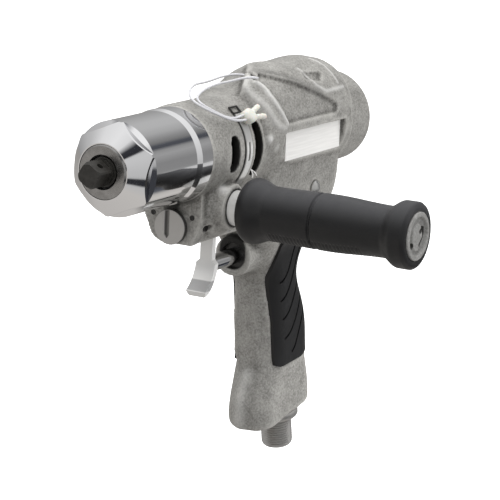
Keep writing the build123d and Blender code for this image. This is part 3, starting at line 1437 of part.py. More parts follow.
def make_seal():
    """Plastic seal: a rounded lump with two tails behind and two cord holes in front."""
    place = seal_plane()
    lump = place * Pos(0, 0, -SEAL_LENGTH / 2) * Cylinder(SEAL_R, SEAL_LENGTH, align=LOW)
    lump = fillet(lump.edges().filter_by(GeomType.CIRCLE), SEAL_ROUND)
    for shift, lean in ((-SEAL_HOLE_SHIFT, -SEAL_TAIL_LEAN), (SEAL_HOLE_SHIFT, SEAL_TAIL_LEAN)):
        tail = Pos(shift, 0, -SEAL_LENGTH / 2 + SEAL_TAIL_ROOT) * Rot(0, 180 + lean, 0)
        lump += place * tail * Cone(SEAL_TAIL_R, SEAL_TAIL_TIP_R, SEAL_TAIL_LENGTH, align=LOW)
        lump -= place * Pos(shift, 0, 0) * Cylinder(CORD_R + PRESS_GAP, SEAL_LENGTH, align=LOW)
    return lump


def cord_radii(points):
    """The radius of each bend: the largest that leaves a tenth of the shorter run straight."""
    radii = []
    for before, here, after in zip(points, points[1:], points[2:]):
        first = Vector(*here) - Vector(*before)
        second = Vector(*after) - Vector(*here)
        half_turn = math.radians(first.get_angle(second)) / 2
        radii.append(0.45 * min(first.length, second.length) / math.tan(half_turn))
    return radii


def make_cord():
    """Seal cord: from the seal forward, over the shoulder, through the hump's hole and back."""
    place = seal_plane()
    ends = []
    for shift in (SEAL_HOLE_SHIFT, -SEAL_HOLE_SHIFT):
        inner = place.from_local_coords((shift, 0, CORD_END_DEPTH))
        outer = place.from_local_coords((shift, 0, CORD_END_DEPTH + CORD_END_RUN))
        ends.append((inner, outer))
    points = [ends[0][0], ends[0][1]] + CORD_ROUTE + [ends[1][1], ends[1][0]]
    points = [tuple(Vector(*p)) for p in points]
    radii = cord_radii(points)
    print("cord bends", [round(r, 1) for r in radii])
    path = FilletPolyline(*points, radius=radii)
    print("cord length", round(path.length, 1), "volume", round(math.pi * CORD_R ** 2 * path.length, 1))
    return sweep(Plane(path @ 0, z_dir=path % 0) * Circle(CORD_R), path=path)


# All pieces

grip_core = grip_loft(-PANEL_SUNK, 2)
panel_outside = grip_loft(PANEL_PROUD, 2)
panel_skin = panel_outside - grip_core
groove_skin = panel_outside - grip_loft(PANEL_PROUD - GROOVE_DEPTH, 2)

pieces = {
    "spindle": make_spindle(),
    "front_ring": make_front_ring(),
    "nose_cap": make_nose_cap(),
    "spindle_bush": make_spindle_bush(),
    "barrel_ring": make_barrel_ring(),
    "clutch_balls": make_clutch_balls(),
    "clutch_plate": make_clutch_plate(),
    "clutch_shaft": make_clutch_shaft(),
    "main_spring": make_main_spring(),
    "spring_seat": make_spring_seat(),
    "adjusting_ring": make_adjusting_ring(),
    "thrust_washer": make_thrust_washer(),
    "planet_carrier": make_planet_carrier(),
    "planet_pins": make_planet_pins(),
    "planet_gear_1": make_planet(0),
    "planet_gear_2": make_planet(1),
    "planet_gear_3": make_planet(2),
    "ring_gear": make_ring_gear(),
    "front_plate": make_motor_plate(FRONT_PLATE_BACK_X),
    "front_bearing": make_bearing(FRONT_PLATE_BACK_X),
    "rotor": make_rotor(),
    "vanes": make_vanes(),
    "cylinder_liner": make_liner(),
    "rear_plate": make_motor_plate(REAR_PLATE_BACK_X),
    "rear_bearing": make_bearing(REAR_PLATE_BACK_X),
    "main_housing": make_housing(grip_core),
    "rear_cover": make_rear_cover(),
    "cover_seal": make_cover_seal(),
    "nameplate": make_nameplate(),
    "side_plug": make_side_plug(),
    "window_band": make_window_band(),
    "band_buckle": make_band_buckle(),
    "selector_valve": make_selector(),
    "detent_ball": make_detent_ball(),
    "detent_spring": make_detent_spring(),
    "detent_screw": make_detent_screw(),
    "trigger": make_trigger(),
    "trigger_pin": make_trigger_pin(),
    "throttle_plunger": make_plunger(),
    "throttle_bush": make_throttle_bush(),
    "throttle_spring": make_throttle_spring(),
    "grip_panel_left": make_panel(1, panel_skin, groove_skin),
    "grip_panel_right": make_panel(-1, panel_skin, groove_skin),
    "inlet_nipple": make_inlet_nipple(),
    "inlet_strainer": make_inlet_strainer(),
    "exhaust_muffler": make_muffler(),
    "handle_stud": make_handle_stud(),
    "handle_grip": make_handle_grip(),
    "handle_cap": make_handle_cap(),
    "cord_seal": make_seal(),
    "seal_cord": make_cord(),
}

os.makedirs("parts", exist_ok=True)
for name, piece in pieces.items():
    export_step(piece, f"parts/{name}.step")
    print(name, round(piece.volume, 1))
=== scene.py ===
# %% [markdown]
# # Dressing a pistol-grip air screwdriver
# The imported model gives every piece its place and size, in metres, with X along the spindle,
# Y to the tool's left and Z up. This lesson adds what the solids lack: the soft edges of a casting,
# the pattern of moulded rubber, a cut thread, a loose cord and the finish of each surface.

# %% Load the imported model
import json
import math

import bmesh
import bpy
import numpy as np
from mathutils import Matrix, Vector


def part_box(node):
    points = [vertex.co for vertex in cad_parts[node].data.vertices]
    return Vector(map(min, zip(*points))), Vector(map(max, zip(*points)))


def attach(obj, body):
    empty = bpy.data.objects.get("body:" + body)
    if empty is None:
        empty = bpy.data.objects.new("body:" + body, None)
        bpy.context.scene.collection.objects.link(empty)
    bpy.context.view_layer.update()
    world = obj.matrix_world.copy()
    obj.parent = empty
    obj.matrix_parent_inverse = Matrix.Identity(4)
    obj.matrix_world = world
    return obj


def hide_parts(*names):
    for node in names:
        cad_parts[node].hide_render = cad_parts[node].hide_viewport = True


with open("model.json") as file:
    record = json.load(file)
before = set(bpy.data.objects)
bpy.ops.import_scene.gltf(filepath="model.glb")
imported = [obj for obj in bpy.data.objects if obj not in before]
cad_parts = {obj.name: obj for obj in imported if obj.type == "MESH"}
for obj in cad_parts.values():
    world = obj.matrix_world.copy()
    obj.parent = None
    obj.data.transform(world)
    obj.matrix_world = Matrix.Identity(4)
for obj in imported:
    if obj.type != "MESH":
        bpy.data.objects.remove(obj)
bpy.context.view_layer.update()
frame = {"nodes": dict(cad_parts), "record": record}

MM = 0.001
nodes = frame["nodes"]
print("pieces in the packed model:", len(nodes))

# %% [markdown]
# ## The camera
# The picture was taken from the tool's front left, a little above it, with a long lens. A camera can be
# aimed by a constraint, but this one's place and turn were worked out beforehand from the round edges of
# nose, cover, handle and inlet, so they are simply written down. A camera looks along its own minus Z,
# and the columns of its matrix are: right, up, and back towards the eye.

# %% Camera
CAMERA_PLACE = Vector((0.8583, 0.5597, 0.1962))
CAMERA_RIGHT = Vector((-0.49671, 0.86692, 0.04154))
CAMERA_UP = Vector((-0.16987, -0.14404, 0.97488))
SENSOR_MM = 36.0
LENS_MM = 165.4
NEAREST_SEEN = 0.01


def add_object(name, data):
    """A new object in the scene, at the origin."""
    made = bpy.data.objects.new(name, data)
    bpy.context.scene.collection.objects.link(made)
    return made


lens = bpy.data.cameras.new("studio_lens")
lens.sensor_width = SENSOR_MM
lens.lens = LENS_MM
lens.clip_start = NEAREST_SEEN
camera = add_object("studio_camera", lens)
camera_turn = Matrix((CAMERA_RIGHT, CAMERA_UP, CAMERA_RIGHT.cross(CAMERA_UP))).transposed()
camera.matrix_world = Matrix.Translation(CAMERA_PLACE) @ camera_turn.to_4x4()
bpy.context.scene.camera = camera
bpy.context.scene.view_settings.view_transform = "Standard"
print("camera stands", round(CAMERA_PLACE.length, 3), "m from the origin")

# %% [markdown]
# ## Finishes
# Every finish is one Principled shader with small patterns on it. A pattern could come from a picture, but
# noise read from Object coordinates, which are the tool's own metres, keeps its scale without any: a grain
# of a millimetre is a millimetre on every piece. What is the same all over a surface is set on the shader's
# own sockets, and only what varies is fed by nodes. The first finish is chrome. The nose is plated and
# polished, so almost all its look is the studio in it. Fine rings round the axis, drawn by a noise that
# is stretched round it, vary the gloss a little.

# %% Chrome, and helpers for every finish
NOISE_LOW = 0.3
NOISE_HIGH = 0.7


def surface_input(material, name):
    """An input of the material's shader, by its name with _ for each space."""
    return material.node_tree.nodes["Principled BSDF"].inputs[name.replace("_", " ")]


def finish(name, **constants):
    """A Principled material with its constant values set on the shader's own sockets."""
    material = bpy.data.materials.new(name)
    material.use_nodes = True
    for socket, value in constants.items():
        surface_input(material, socket).default_value = value
    return material


def feed(owner, socket, value):
    """Give an input socket a value, or link the output that feeds it."""
    if isinstance(value, bpy.types.NodeSocket):
        owner.node_tree.links.new(value, socket)
    else:
        socket.default_value = value


def node(owner, kind, **settings):
    """Add a node to a material or a world, and set its properties and its inputs by name."""
    made = owner.node_tree.nodes.new(kind)
    for key, value in settings.items():
        if hasattr(made, key):
            setattr(made, key, value)
        else:
            feed(owner, made.inputs[key.replace("_", " ")], value)
    return made


def noise(material, size, detail=3.0, rough=0.55, stretch=(1, 1, 1)):
    """A noise over Object coordinates whose grains are about size metres across."""
    place = node(material, "ShaderNodeTexCoord").outputs["Object"]
    where = node(material, "ShaderNodeMapping", Vector=place, Scale=stretch).outputs["Vector"]
    grain = node(
        material, "ShaderNodeTexNoise", Vector=where, Scale=1.0 / size, Detail=detail, Roughness=rough,
    )
    return grain.outputs["Fac"]


def spread(material, pattern, low, high):
    """Map a pattern's middle range to the span from low to high."""
    reach = node(material, "ShaderNodeMapRange", Value=pattern, From_Min=NOISE_LOW, From_Max=NOISE_HIGH)
    reach.inputs["To Min"].default_value = low
    reach.inputs["To Max"].default_value = high
    return reach.outputs["Result"]


def gloss(material, low, high, pattern):
    """Let a pattern move the roughness between low and high."""
    feed(material, surface_input(material, "Roughness"), spread(material, pattern, low, high))


chrome = finish("polished_chrome", Base_Color=(0.86, 0.86, 0.87, 1), Metallic=1.0)
gloss(chrome, 0.04, 0.09, noise(chrome, 0.0005, stretch=(1.0, 0.05, 0.05)))
print("nodes in the chrome:", len(chrome.node_tree.nodes))

# %% [markdown]
# ### Cast aluminium
# The housing is a casting that was tumbled and blasted: a mottled grey, grainy at a millimetre. Its edges
# are brighter, partly as rubbed wear and partly as a painted highlight, and its hollows darker as painted
# shade. A shader can't tell an edge from a hollow by itself, so a number stored in the mesh, called edge,
# tells it: above nought on an edge, below it in a hollow, and nought where none is stored. A second number
# blackens, as painted shade, what lies in shadow, such as the inside of a window, and a third brightens
# spots and ridges with a painted highlight.

# %% Cast aluminium
# Black of the painted shade, and white of the painted highlights
PAINTED_SHADE = (0.02, 0.0195, 0.018)
GLINT_WHITE = (0.92, 0.915, 0.9)

# Sockets of a colour mix, by number, because the node's other kinds use the same names
MIX_SHARE, MIX_FIRST, MIX_SECOND, MIX_RESULT = 0, 6, 7, 2


def mixed(owner, share, first, second):
    """A colour between two, each of them a colour or an output, by a share from 0 to 1."""
    mix = node(owner, "ShaderNodeMix", data_type="RGBA")
    feed(owner, mix.inputs[MIX_SHARE], share)
    feed(owner, mix.inputs[MIX_FIRST], first)
    feed(owner, mix.inputs[MIX_SECOND], second)
    return mix.outputs[MIX_RESULT]


def tint(material, dark, light, pattern):
    """Let a pattern colour the shader between two shades."""
    share = spread(material, pattern, 0.0, 1.0)
    feed(material, surface_input(material, "Base_Color"), mixed(material, share, (*dark, 1), (*light, 1)))


def stain(material, share, colour):
    """Turn the base colour towards another shade by a share from 0 to 1."""
    base = surface_input(material, "Base_Color")
    under = base.links[0].from_socket if base.is_linked else base.default_value
    feed(material, base, mixed(material, share, under, (*colour, 1)))


def stored(material, name):
    """A number that the mesh stores at its points, or nought where it stores none."""
    return node(material, "ShaderNodeAttribute", attribute_name=name).outputs["Fac"]


def blend(material, *shares):
    """The sum of patterns, each times its weight."""
    total = 0.0
    for pattern, weight in shares:
        step = node(material, "ShaderNodeMath", operation="MULTIPLY_ADD")
        for socket, value in zip(step.inputs, (pattern, weight, total)):
            feed(material, socket, value)
        total = step.outputs[0]
    return total


def relief(material, strength, depth, pattern):
    """Let a pattern raise the surface by about depth metres."""
    bump = node(material, "ShaderNodeBump", Strength=strength, Distance=depth, Height=pattern)
    feed(material, surface_input(material, "Normal"), bump.outputs["Normal"])


def cast_metal(name, dark, light):
    """Blasted aluminium shaded by two grains and by edges, with painted highlights and painted shade over
    it.
    """
    material = finish(name, Metallic=0.35)
    fine = noise(material, 0.0011, detail=4.0, rough=0.7)
    broad = noise(material, 0.008)
    tint(material, dark, light, blend(material, (fine, 0.7), (broad, 0.3), (stored(material, "edge"), 0.2)))
    # Painted highlights on glints and ridges, then painted shade where shadow falls
    stain(material, stored(material, "painted_glint"), GLINT_WHITE)
    stain(material, stored(material, "painted_shading"), PAINTED_SHADE)
    gloss(material, 0.6, 0.42, fine)
    relief(material, 0.4, 0.0005, fine)
    return material


cast = cast_metal("cast_aluminium", (0.13, 0.126, 0.116), (0.46, 0.45, 0.425))
bright_cast = cast_metal("bright_casting", (0.17, 0.167, 0.16), (0.5, 0.495, 0.48))
print("nodes in the casting's finish:", len(cast.node_tree.nodes))

# %% [markdown]
# ### The lever
# The trigger is a bright lever, smooth from the finger, with a shaded hollow across it above its tip. The
# hollow is too shallow to model, so the shade is laid between two heights, softly at both.

# %% Lever
LEVER_HOLLOW = (-0.0716, -0.0676)
LEVER_HOLLOW_FADE = 0.0006
LEVER_SHADE = 0.6


def layer(material, axis, low, high, fade):
    """1 where a coordinate lies between two values, falling to 0 over fade metres outside them."""
    place = node(material, "ShaderNodeTexCoord").outputs["Object"]
    parts = node(material, "ShaderNodeSeparateXYZ", Vector=place)
    both = node(material, "ShaderNodeMath", operation="MULTIPLY")
    for socket, outer, inner in zip(both.inputs, (low - fade, high + fade), (low, high)):
        side = node(material, "ShaderNodeMapRange", interpolation_type="SMOOTHSTEP")
        feed(material, side.inputs["Value"], parts.outputs[axis])
        feed(material, side.inputs["From Min"], outer)
        feed(material, side.inputs["From Max"], inner)
        feed(material, socket, side.outputs["Result"])
    return both.outputs[0]


lever = finish("bright_lever", Base_Color=(0.84, 0.835, 0.82, 1), Metallic=0.4)
gloss(lever, 0.34, 0.46, noise(lever, 0.002, detail=4.0))
relief(lever, 0.08, 0.0003, noise(lever, 0.0018, detail=2.0))
hollow = layer(lever, "Z", *LEVER_HOLLOW, LEVER_HOLLOW_FADE)
stain(lever, blend(lever, (hollow, LEVER_SHADE)), (0.16, 0.16, 0.17))
print("nodes in the lever's finish:", len(lever.node_tree.nodes))

# %% [markdown]
# ### Bare metals
# Pins, gears, springs and rings are bare or oiled steel. Each could share one grey, but they meet in the
# windows and at the nose, where the eye tells turned from ground steel by its shade and by the spots in its
# gloss. So each gets its own two shades or its own range of roughness.

# %% Bare metals


def oiled_steel(name, shade, metallic, smooth, rough):
    """Machined steel of one shade, with fine spots in its gloss."""
    material = finish(name, Base_Color=(*shade, 1), Metallic=metallic)
    gloss(material, smooth, rough, noise(material, 0.001, detail=4.0))
    return material


ground = oiled_steel("ground_steel", (0.5, 0.5, 0.51), 1.0, 0.22, 0.4)
spring = oiled_steel("oiled_spring_steel", (0.33, 0.33, 0.34), 1.0, 0.25, 0.45)
iron = oiled_steel("machined_iron", (0.24, 0.24, 0.24), 0.9, 0.42, 0.6)

satin = finish("satin_steel", Metallic=1.0)
gloss(satin, 0.26, 0.4, noise(satin, 0.0015, detail=4.0))
tint(satin, (0.56, 0.555, 0.54), (0.68, 0.675, 0.66), noise(satin, 0.006))

turned = finish("turned_ring", Metallic=1.0)
gloss(turned, 0.18, 0.32, noise(turned, 0.0008))
tint(turned, (0.31, 0.305, 0.3), (0.42, 0.415, 0.41), noise(turned, 0.004))

zinc = finish("zinc_plate", Base_Color=(0.47, 0.46, 0.445, 1), Metallic=0.85)
gloss(zinc, 0.28, 0.42, noise(zinc, 0.0015, detail=4.0))

bronze = finish("sintered_bronze", Metallic=1.0, Roughness=0.45)
tint(bronze, (0.42, 0.29, 0.15), (0.62, 0.44, 0.25), noise(bronze, 0.0006, detail=4.0))
relief(bronze, 0.3, 0.0002, noise(bronze, 0.0005, detail=2.0))
print("finishes so far:", len(bpy.data.materials))

# %% [markdown]
# ### Blackened steel and bright sheet
# The spindle and the small fittings are blackened: an oxide film looks like dark glass over steel, so it is
# no metal to the shader. The plate, the strap and the selector are sheet or disc with a brushed gloss, drawn
# by noise that is stretched along the brushing, and the last two take painted shade as the casting does.

# %% Blackened steel and bright sheet
oxide = finish("black_oxide", Specular_IOR_Level=0.6)
tint(oxide, (0.007, 0.007, 0.006), (0.02, 0.02, 0.018), noise(oxide, 0.003, detail=4.0))
gloss(oxide, 0.22, 0.42, noise(oxide, 0.001))

phosphate = finish("black_phosphate", Roughness=0.4, Specular_IOR_Level=0.4)
tint(phosphate, (0.018, 0.017, 0.015), (0.034, 0.032, 0.029), noise(phosphate, 0.002, detail=4.0))

LENGTHWISE = (0.04, 1.0, 1.0)
plate = finish("bare_plate", Metallic=0.2)
gloss(plate, 0.32, 0.48, noise(plate, 0.0004, stretch=LENGTHWISE))
tint(plate, (0.74, 0.73, 0.71), (0.84, 0.83, 0.81), noise(plate, 0.001, stretch=LENGTHWISE))

turned_disc = finish("turned_disc", Base_Color=(0.5, 0.49, 0.475, 1), Metallic=0.6)
gloss(turned_disc, 0.32, 0.48, noise(turned_disc, 0.0006, stretch=(1.0, 1.0, 0.15)))
# Painted shade in the selector's slot and round its rim
stain(turned_disc, stored(turned_disc, "painted_shading"), PAINTED_SHADE)

strap = finish("bright_strap", Base_Color=(0.8, 0.795, 0.78, 1), Metallic=0.4)
gloss(strap, 0.3, 0.4, noise(strap, 0.004))
# Painted shade on the band's bed, slot and upper end, and a darker lower end
stain(strap, stored(strap, "painted_shading"), PAINTED_SHADE)
print("finishes so far:", len(bpy.data.materials))

# %% [markdown]
# ### Rubber, plastic and cord
# The handle and the grip panels are black moulded rubber with a dull sheen. The handle's top takes a
# painted sheen, stored in the number that other pieces use for painted shade. The seal is off-white plastic
# that lets some light in, and the cord a glossy white nylon line.

# %% Rubber, plastic and cord
TOP_SHEEN = (0.036, 0.036, 0.039)
rubber = finish("black_rubber", Base_Color=(0.008, 0.008, 0.0085, 1), Specular_IOR_Level=0.42)
gloss(rubber, 0.38, 0.52, noise(rubber, 0.004, detail=4.0))
relief(rubber, 0.12, 0.0002, noise(rubber, 0.0004, detail=2.0))
# Painted sheen: the handle's top is painted lighter
stain(rubber, stored(rubber, "painted_shading"), TOP_SHEEN)

resin = finish("vane_resin", Roughness=0.55)
tint(resin, (0.15, 0.08, 0.04), (0.27, 0.16, 0.08), noise(resin, 0.001, detail=4.0))

seal_white = finish(
    "seal_plastic", Base_Color=(0.58, 0.58, 0.53, 1), Subsurface_Weight=0.15, Subsurface_Scale=0.001,
)
gloss(seal_white, 0.24, 0.42, noise(seal_white, 0.002))

cord_white = finish("cord_nylon", Base_Color=(0.54, 0.54, 0.56, 1))
gloss(cord_white, 0.22, 0.4, noise(cord_white, 0.0015))
print("finishes:", len(bpy.data.materials))

# %% [markdown]
# ### Which piece has which finish
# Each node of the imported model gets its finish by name; what is inside the tool shows in the windows. A
# table is easier to read and to change than one assignment for every piece.

# %% Finish every piece
FINISHES = {
    cast: ["main_housing", "rear_cover"],
    chrome: ["nose_cap", "barrel_ring", "throttle_plunger"],
    phosphate: ["spindle"],
    zinc: ["inlet_nipple"],
    lever: ["trigger"],
    turned: ["front_ring"],
    bright_cast: ["handle_cap"],
    strap: ["window_band", "handle_stud"],
    satin: ["trigger_pin", "spring_seat", "thrust_washer", "selector_valve", "side_plug"],
    ground: [
        "clutch_balls", "clutch_plate", "clutch_shaft", "planet_carrier", "planet_pins",
        "planet_gear_1", "planet_gear_2", "planet_gear_3", "ring_gear", "front_bearing", "rear_bearing",
        "rotor", "detent_ball",
    ],
    spring: ["main_spring", "detent_spring", "throttle_spring"],
    iron: ["front_plate", "rear_plate", "cylinder_liner", "spindle_bush"],
    bronze: ["inlet_strainer", "exhaust_muffler"],
    oxide: ["band_buckle", "detent_screw", "adjusting_ring", "throttle_bush"],
    plate: ["nameplate"],
    rubber: ["handle_grip", "grip_panel_left", "grip_panel_right", "cover_seal"],
    resin: ["vanes"],
    seal_white: ["cord_seal"],
    cord_white: ["seal_cord"],
}
for material, names in FINISHES.items():
    for name in names:
        nodes[name].data.materials.clear()
        nodes[name].data.materials.append(material)
print("finished pieces:", sum(len(names) for names in FINISHES.values()))

# %% [markdown]
# ## The seal cord
# A thin white line leaves the seal, lies over the barrel's shoulder, goes through a hole in the hump and
# comes back to the seal. It could be a swept mesh, but a NURBS curve with the route's points as its control
# points bends as such a line does, and stays easy to change.

# %% Seal cord
CORD_DIAMETER = 0.0012
CORD_POINTS_MM = [
    (-92.5, 21.755, 18.021), (-87.5, 21.755, 18.021), (-81.5, 21.9, 17.4), (-75.0, 20.9, 18.4),
    (-69.0, 17.6, 21.5), (-65.8, 11.8, 24.9), (-70.4, 6.4, 26.5), (-78.6, 2.8, 27.4),
    (-86.2, 1.6, 28.8), (-92.6, 5.0, 31.0), (-97.6, 9.5, 32.2), (-103.6, 13.5, 33.8),
    (-110.2, 16.4, 33.2), (-116.1, 13.9, 32.1), (-118.9, 8.3, 31.8), (-121.6, 2.9, 32.0),
    (-120.7, -3.0, 31.8), (-116.4, -7.2, 30.6), (-110.0, -8.2, 29.6), (-103.0, -7.6, 29.4),
    (-96.0, -6.8, 29.6), (-88.8, -5.4, 30.0), (-81.6, -3.2, 29.8), (-74.6, -0.2, 28.8),
    (-67.2, 4.6, 27.4), (-62.0, 11.2, 25.6), (-63.8, 17.8, 22.6), (-70.6, 21.8, 19.2),
    (-78.6, 23.7, 16.8), (-87.5, 23.319, 15.945), (-92.5, 23.319, 15.945),
]
line = bpy.data.curves.new("seal_line", "CURVE")
line.dimensions = "3D"
line.bevel_depth = CORD_DIAMETER / 2
line.bevel_resolution = 4
line.resolution_u = 8
line.use_fill_caps = True
route = line.splines.new("NURBS")
route.points.add(len(CORD_POINTS_MM) - 1)
weights = np.ones(len(CORD_POINTS_MM))
route.points.foreach_set("co", np.c_[np.array(CORD_POINTS_MM) * MM, weights].ravel())
route.order_u = 3
route.use_endpoint_u = True
line.materials.append(cord_white)
seal_line = add_object("seal_line", line)
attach(seal_line, "housing")
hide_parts("seal_cord")
print("cord control points:", len(CORD_POINTS_MM))

# %% [markdown]
# ### Its seal
# The seal is a soft lump pressed round both ends of the line. A ball would look too clean, so the lump is
# an ellipsoid with blunt powers of sine and cosine, a little dented. Like most new pieces here, it is a grid
# of points: rows along the piece, columns round it. A helper joins the grid into faces with whole index
# arrays, closes it round the columns, and merges points that coincide, such as those of a pole.

# %% Seal
SEAL_TURN = math.radians(37)
SEAL_OUT = 0.0282
SEAL_MIDDLE = np.array([-0.0930, SEAL_OUT * math.cos(SEAL_TURN), SEAL_OUT * math.sin(SEAL_TURN)])
SEAL_WAYS = np.array([
    (-1.0, 0.0, 0.0),
    (0.0, -math.sin(SEAL_TURN), math.cos(SEAL_TURN)),
    (0.0, math.cos(SEAL_TURN), math.sin(SEAL_TURN)),
])
SEAL_HALVES_MM = (4.1, 3.7, 3.1)
SEAL_BLUNT = 0.75
SEAL_DENT = 0.06
SAME_POINT = 1e-7


def merge(mesh, distance, outwards):
    """Merge a mesh's points that lie within a distance, and turn its faces outwards if asked."""
    shell = bmesh.new()
    shell.from_mesh(mesh)
    bmesh.ops.remove_doubles(shell, verts=shell.verts, dist=distance)
    if outwards:
        bmesh.ops.recalc_face_normals(shell, faces=shell.faces)
    shell.to_mesh(mesh)
    shell.free()


def grid_piece(name, material, points, values=None):
    """A closed mesh from a grid of points (rows, columns, 3); each face joins four neighbours.

    Row i and column j give the corners (i, j), (i, j+1), (i+1, j+1), (i+1, j), and the last column joins
    the first one. The values, one for each point, are stored in the mesh as its painted shading, which is
    shade on most pieces and a sheen on the handle.
    """
    rows, columns = points.shape[:2]
    index = np.arange(rows * columns).reshape(rows, columns)
    following = np.roll(index, -1, axis=1)
    quads = np.stack([index[:-1], following[:-1], following[1:], index[1:]], axis=-1).reshape(-1, 4)
    mesh = bpy.data.meshes.new(name)
    mesh.from_pydata(points.reshape(-1, 3).tolist(), [], quads.tolist())
    if values is not None:
        mesh.attributes.new("painted_shading", "FLOAT", "POINT").data.foreach_set("value", np.ravel(values))
    merge(mesh, SAME_POINT, outwards=True)
    mesh.shade_smooth()
    mesh.materials.append(material)
    return add_object(name, mesh)


def full_turn(columns):
    """The angles of columns that are spread evenly round a full turn."""
    return np.linspace(0, math.tau, columns, endpoint=False)


def blunt(value):
    """A sine or cosine raised to a power below 1, with its sign kept."""
    return np.sign(value) * np.abs(value) ** SEAL_BLUNT


def seal_surface(rows, columns):
    """Points of the lump: middle + sum over the three ways of half * blunt sines and cosines.

    Across the line they are times 1 + dent * cos(lift) * sin(3 turn + 4 lift), which winds dents round it.
    """
    lift = np.linspace(-math.pi / 2, math.pi / 2, rows)[:, None]
    turn = full_turn(columns)[None]
    dent = 1 + SEAL_DENT * np.cos(lift) * np.sin(3 * turn + 4 * lift)
    along = blunt(np.sin(lift)) * np.ones_like(turn)
    up = blunt(np.cos(lift)) * blunt(np.cos(turn)) * dent
    out = blunt(np.cos(lift)) * blunt(np.sin(turn)) * dent
    return SEAL_MIDDLE + (np.stack([along, up, out], axis=2) * SEAL_HALVES_MM * MM) @ SEAL_WAYS


seal = grid_piece("pressed_seal", seal_white, seal_surface(41, 64))
print("seal faces:", len(seal.data.polygons))

# %% [markdown]
# ### Its tails
# Two knobby tails stand out of the seal. A bevelled curve would be as thick all along, so each tail is a
# circle carried along a path, and its radius swells and shrinks on the way. Seal and tails belong to the
# cord.

# %% Tails of the seal
SEAL_TAILS_MM = [
    [(2.5, 0.9, 0.4), (5.0, 1.9, 0.8), (7.5, 2.6, 1.2), (10.4, 3.4, 1.2)],
    [(2.5, -1.0, 0.4), (5.5, -1.5, 0.8), (8.5, -1.8, 1.2), (11.6, -2.2, 1.2)],
]
TAIL_RADIUS_MM = 1.4
TAIL_SWELL_MM = 0.12
TAIL_KNOBS = 6.0
TAIL_STEPS = 28
ASKEW = (1.0, 0.2, 0.1)


def tube_surface(path, radius, columns):
    """Points of a round wire: path(s) + radius(s) * (cos t * side + sin t * other), with closed ends.

    Side lies across the path and a direction that no path here follows, and other across both.
    """
    path = np.concatenate([path[:1], path, path[-1:]])
    size = np.concatenate([[0.0], np.broadcast_to(radius, len(path) - 2), [0.0]])
    along = np.gradient(path, axis=0)
    along[[0, -1]] = along[[1, -2]]
    along /= np.linalg.norm(along, axis=1, keepdims=True)
    side = np.cross(along, ASKEW)
    side /= np.linalg.norm(side, axis=1, keepdims=True)
    other = np.cross(along, side)
    turn = full_turn(columns)[None, :, None]
    ring = np.cos(turn) * side[:, None] + np.sin(turn) * other[:, None]
    return path[:, None] + size[:, None, None] * ring


def tail_surface(corners_mm, columns):
    """Points of a tail: a tube along its corners whose radius(s) = mean + swell * sin(knobs * s)."""
    corners = SEAL_MIDDLE + (np.array(corners_mm) * MM) @ SEAL_WAYS
    places = np.arange(len(corners))
    share = np.linspace(0, len(corners) - 1, TAIL_STEPS)
    path = np.stack([np.interp(share, places, column) for column in corners.T], axis=1)
    return tube_surface(path, (TAIL_RADIUS_MM + TAIL_SWELL_MM * np.sin(TAIL_KNOBS * share)) * MM, columns)


tails = []
for number, corners in enumerate(SEAL_TAILS_MM):
    tails.append(grid_piece(f"seal_tail_{number + 1}", seal_white, tail_surface(corners, 20)))
for piece in [seal, *tails]:
    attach(piece, "housing")
    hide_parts("cord_seal")
print("tails:", len(tails))

# %% [markdown]
# ## The casting
# Solids meet in sharp corners, but a casting flows from one form into the next. A bevel can't follow edges
# that run into each other like these, so a copy of the housing is rebuilt from small cubes, which gives an
# even net of points that the next cells soften, mark and raise.

# %% Housing in small cubes
VOXEL = 0.00075
LOOSE_CORNER = 1e-6


def modified(name, mesh, kind, **settings):
    """A new mesh: the given one after a single modifier."""
    holder = add_object(name, mesh)
    step = holder.modifiers.new(kind.title(), kind)
    for key, value in settings.items():
        setattr(step, key, value)
    result = bpy.data.meshes.new_from_object(holder.evaluated_get(bpy.context.evaluated_depsgraph_get()))
    bpy.data.objects.remove(holder)
    bpy.data.meshes.remove(mesh)
    result.name = name
    return result


def read(items, what, width, kind=float):
    """An array read whole from a mesh: a row of width numbers for each vertex or edge."""
    values = np.empty(len(items) * width, kind)
    items.foreach_get(what, values)
    return values.reshape(-1, width)


housing_mesh = nodes["main_housing"].data.copy()
merge(housing_mesh, LOOSE_CORNER, outwards=False)
casting_mesh = modified("cast_housing", housing_mesh, "REMESH", mode="VOXEL", voxel_size=VOXEL)
points = read(casting_mesh.vertices, "co", 3) / MM
edges = read(casting_mesh.edges, "vertices", 2, int)
print("points of the casting:", len(points))

# %% [markdown]
# ### Soft joins
# Every point steps again and again towards the mean of its neighbours, which fills hollows and rounds
# edges. Boxes say where: many rounds where boss, barrel and block run into each other, fewer on the hump,
# and almost none where a machined piece seats.

# %% Soften the casting
SEATS_MM = [
    ((-67.0, -40.0, -60.0), (-40.0, 40.0, 40.0)),
    ((-205.0, -40.0, -40.0), (-195.0, 40.0, 40.0)),
    ((-107.5, 10.0, -15.0), (-75.0, 30.0, 15.0)),
    ((-189.0, 20.0, -12.0), (-127.0, 30.0, 6.0)),
    ((-175.0, 14.0, -36.0), (-163.0, 26.0, -24.0)),
    ((-95.0, 24.6, -40.0), (-68.0, 27.0, -12.0)),
    ((-73.0, 12.0, -38.0), (-67.8, 20.0, -32.6)),
    ((-129.0, -9.0, -70.0), (-118.0, 9.0, -52.0)),
]
JOINS_MM = [
    ((-128.0, -24.0, -38.0), (-72.0, 22.0, -14.0)),
    ((-152.0, -18.0, -74.0), (-128.0, 18.0, -34.0)),
    ((-168.0, -18.0, -150.0), (-140.0, 18.0, -122.0)),
]
HUMP_MM = [((-192.0, -32.0, 8.0), (-104.0, 32.0, 50.0))]
SEAT_FADE_MM = 3.0
JOIN_FADE_MM = 7.0
HUMP_FADE_MM = 5.0
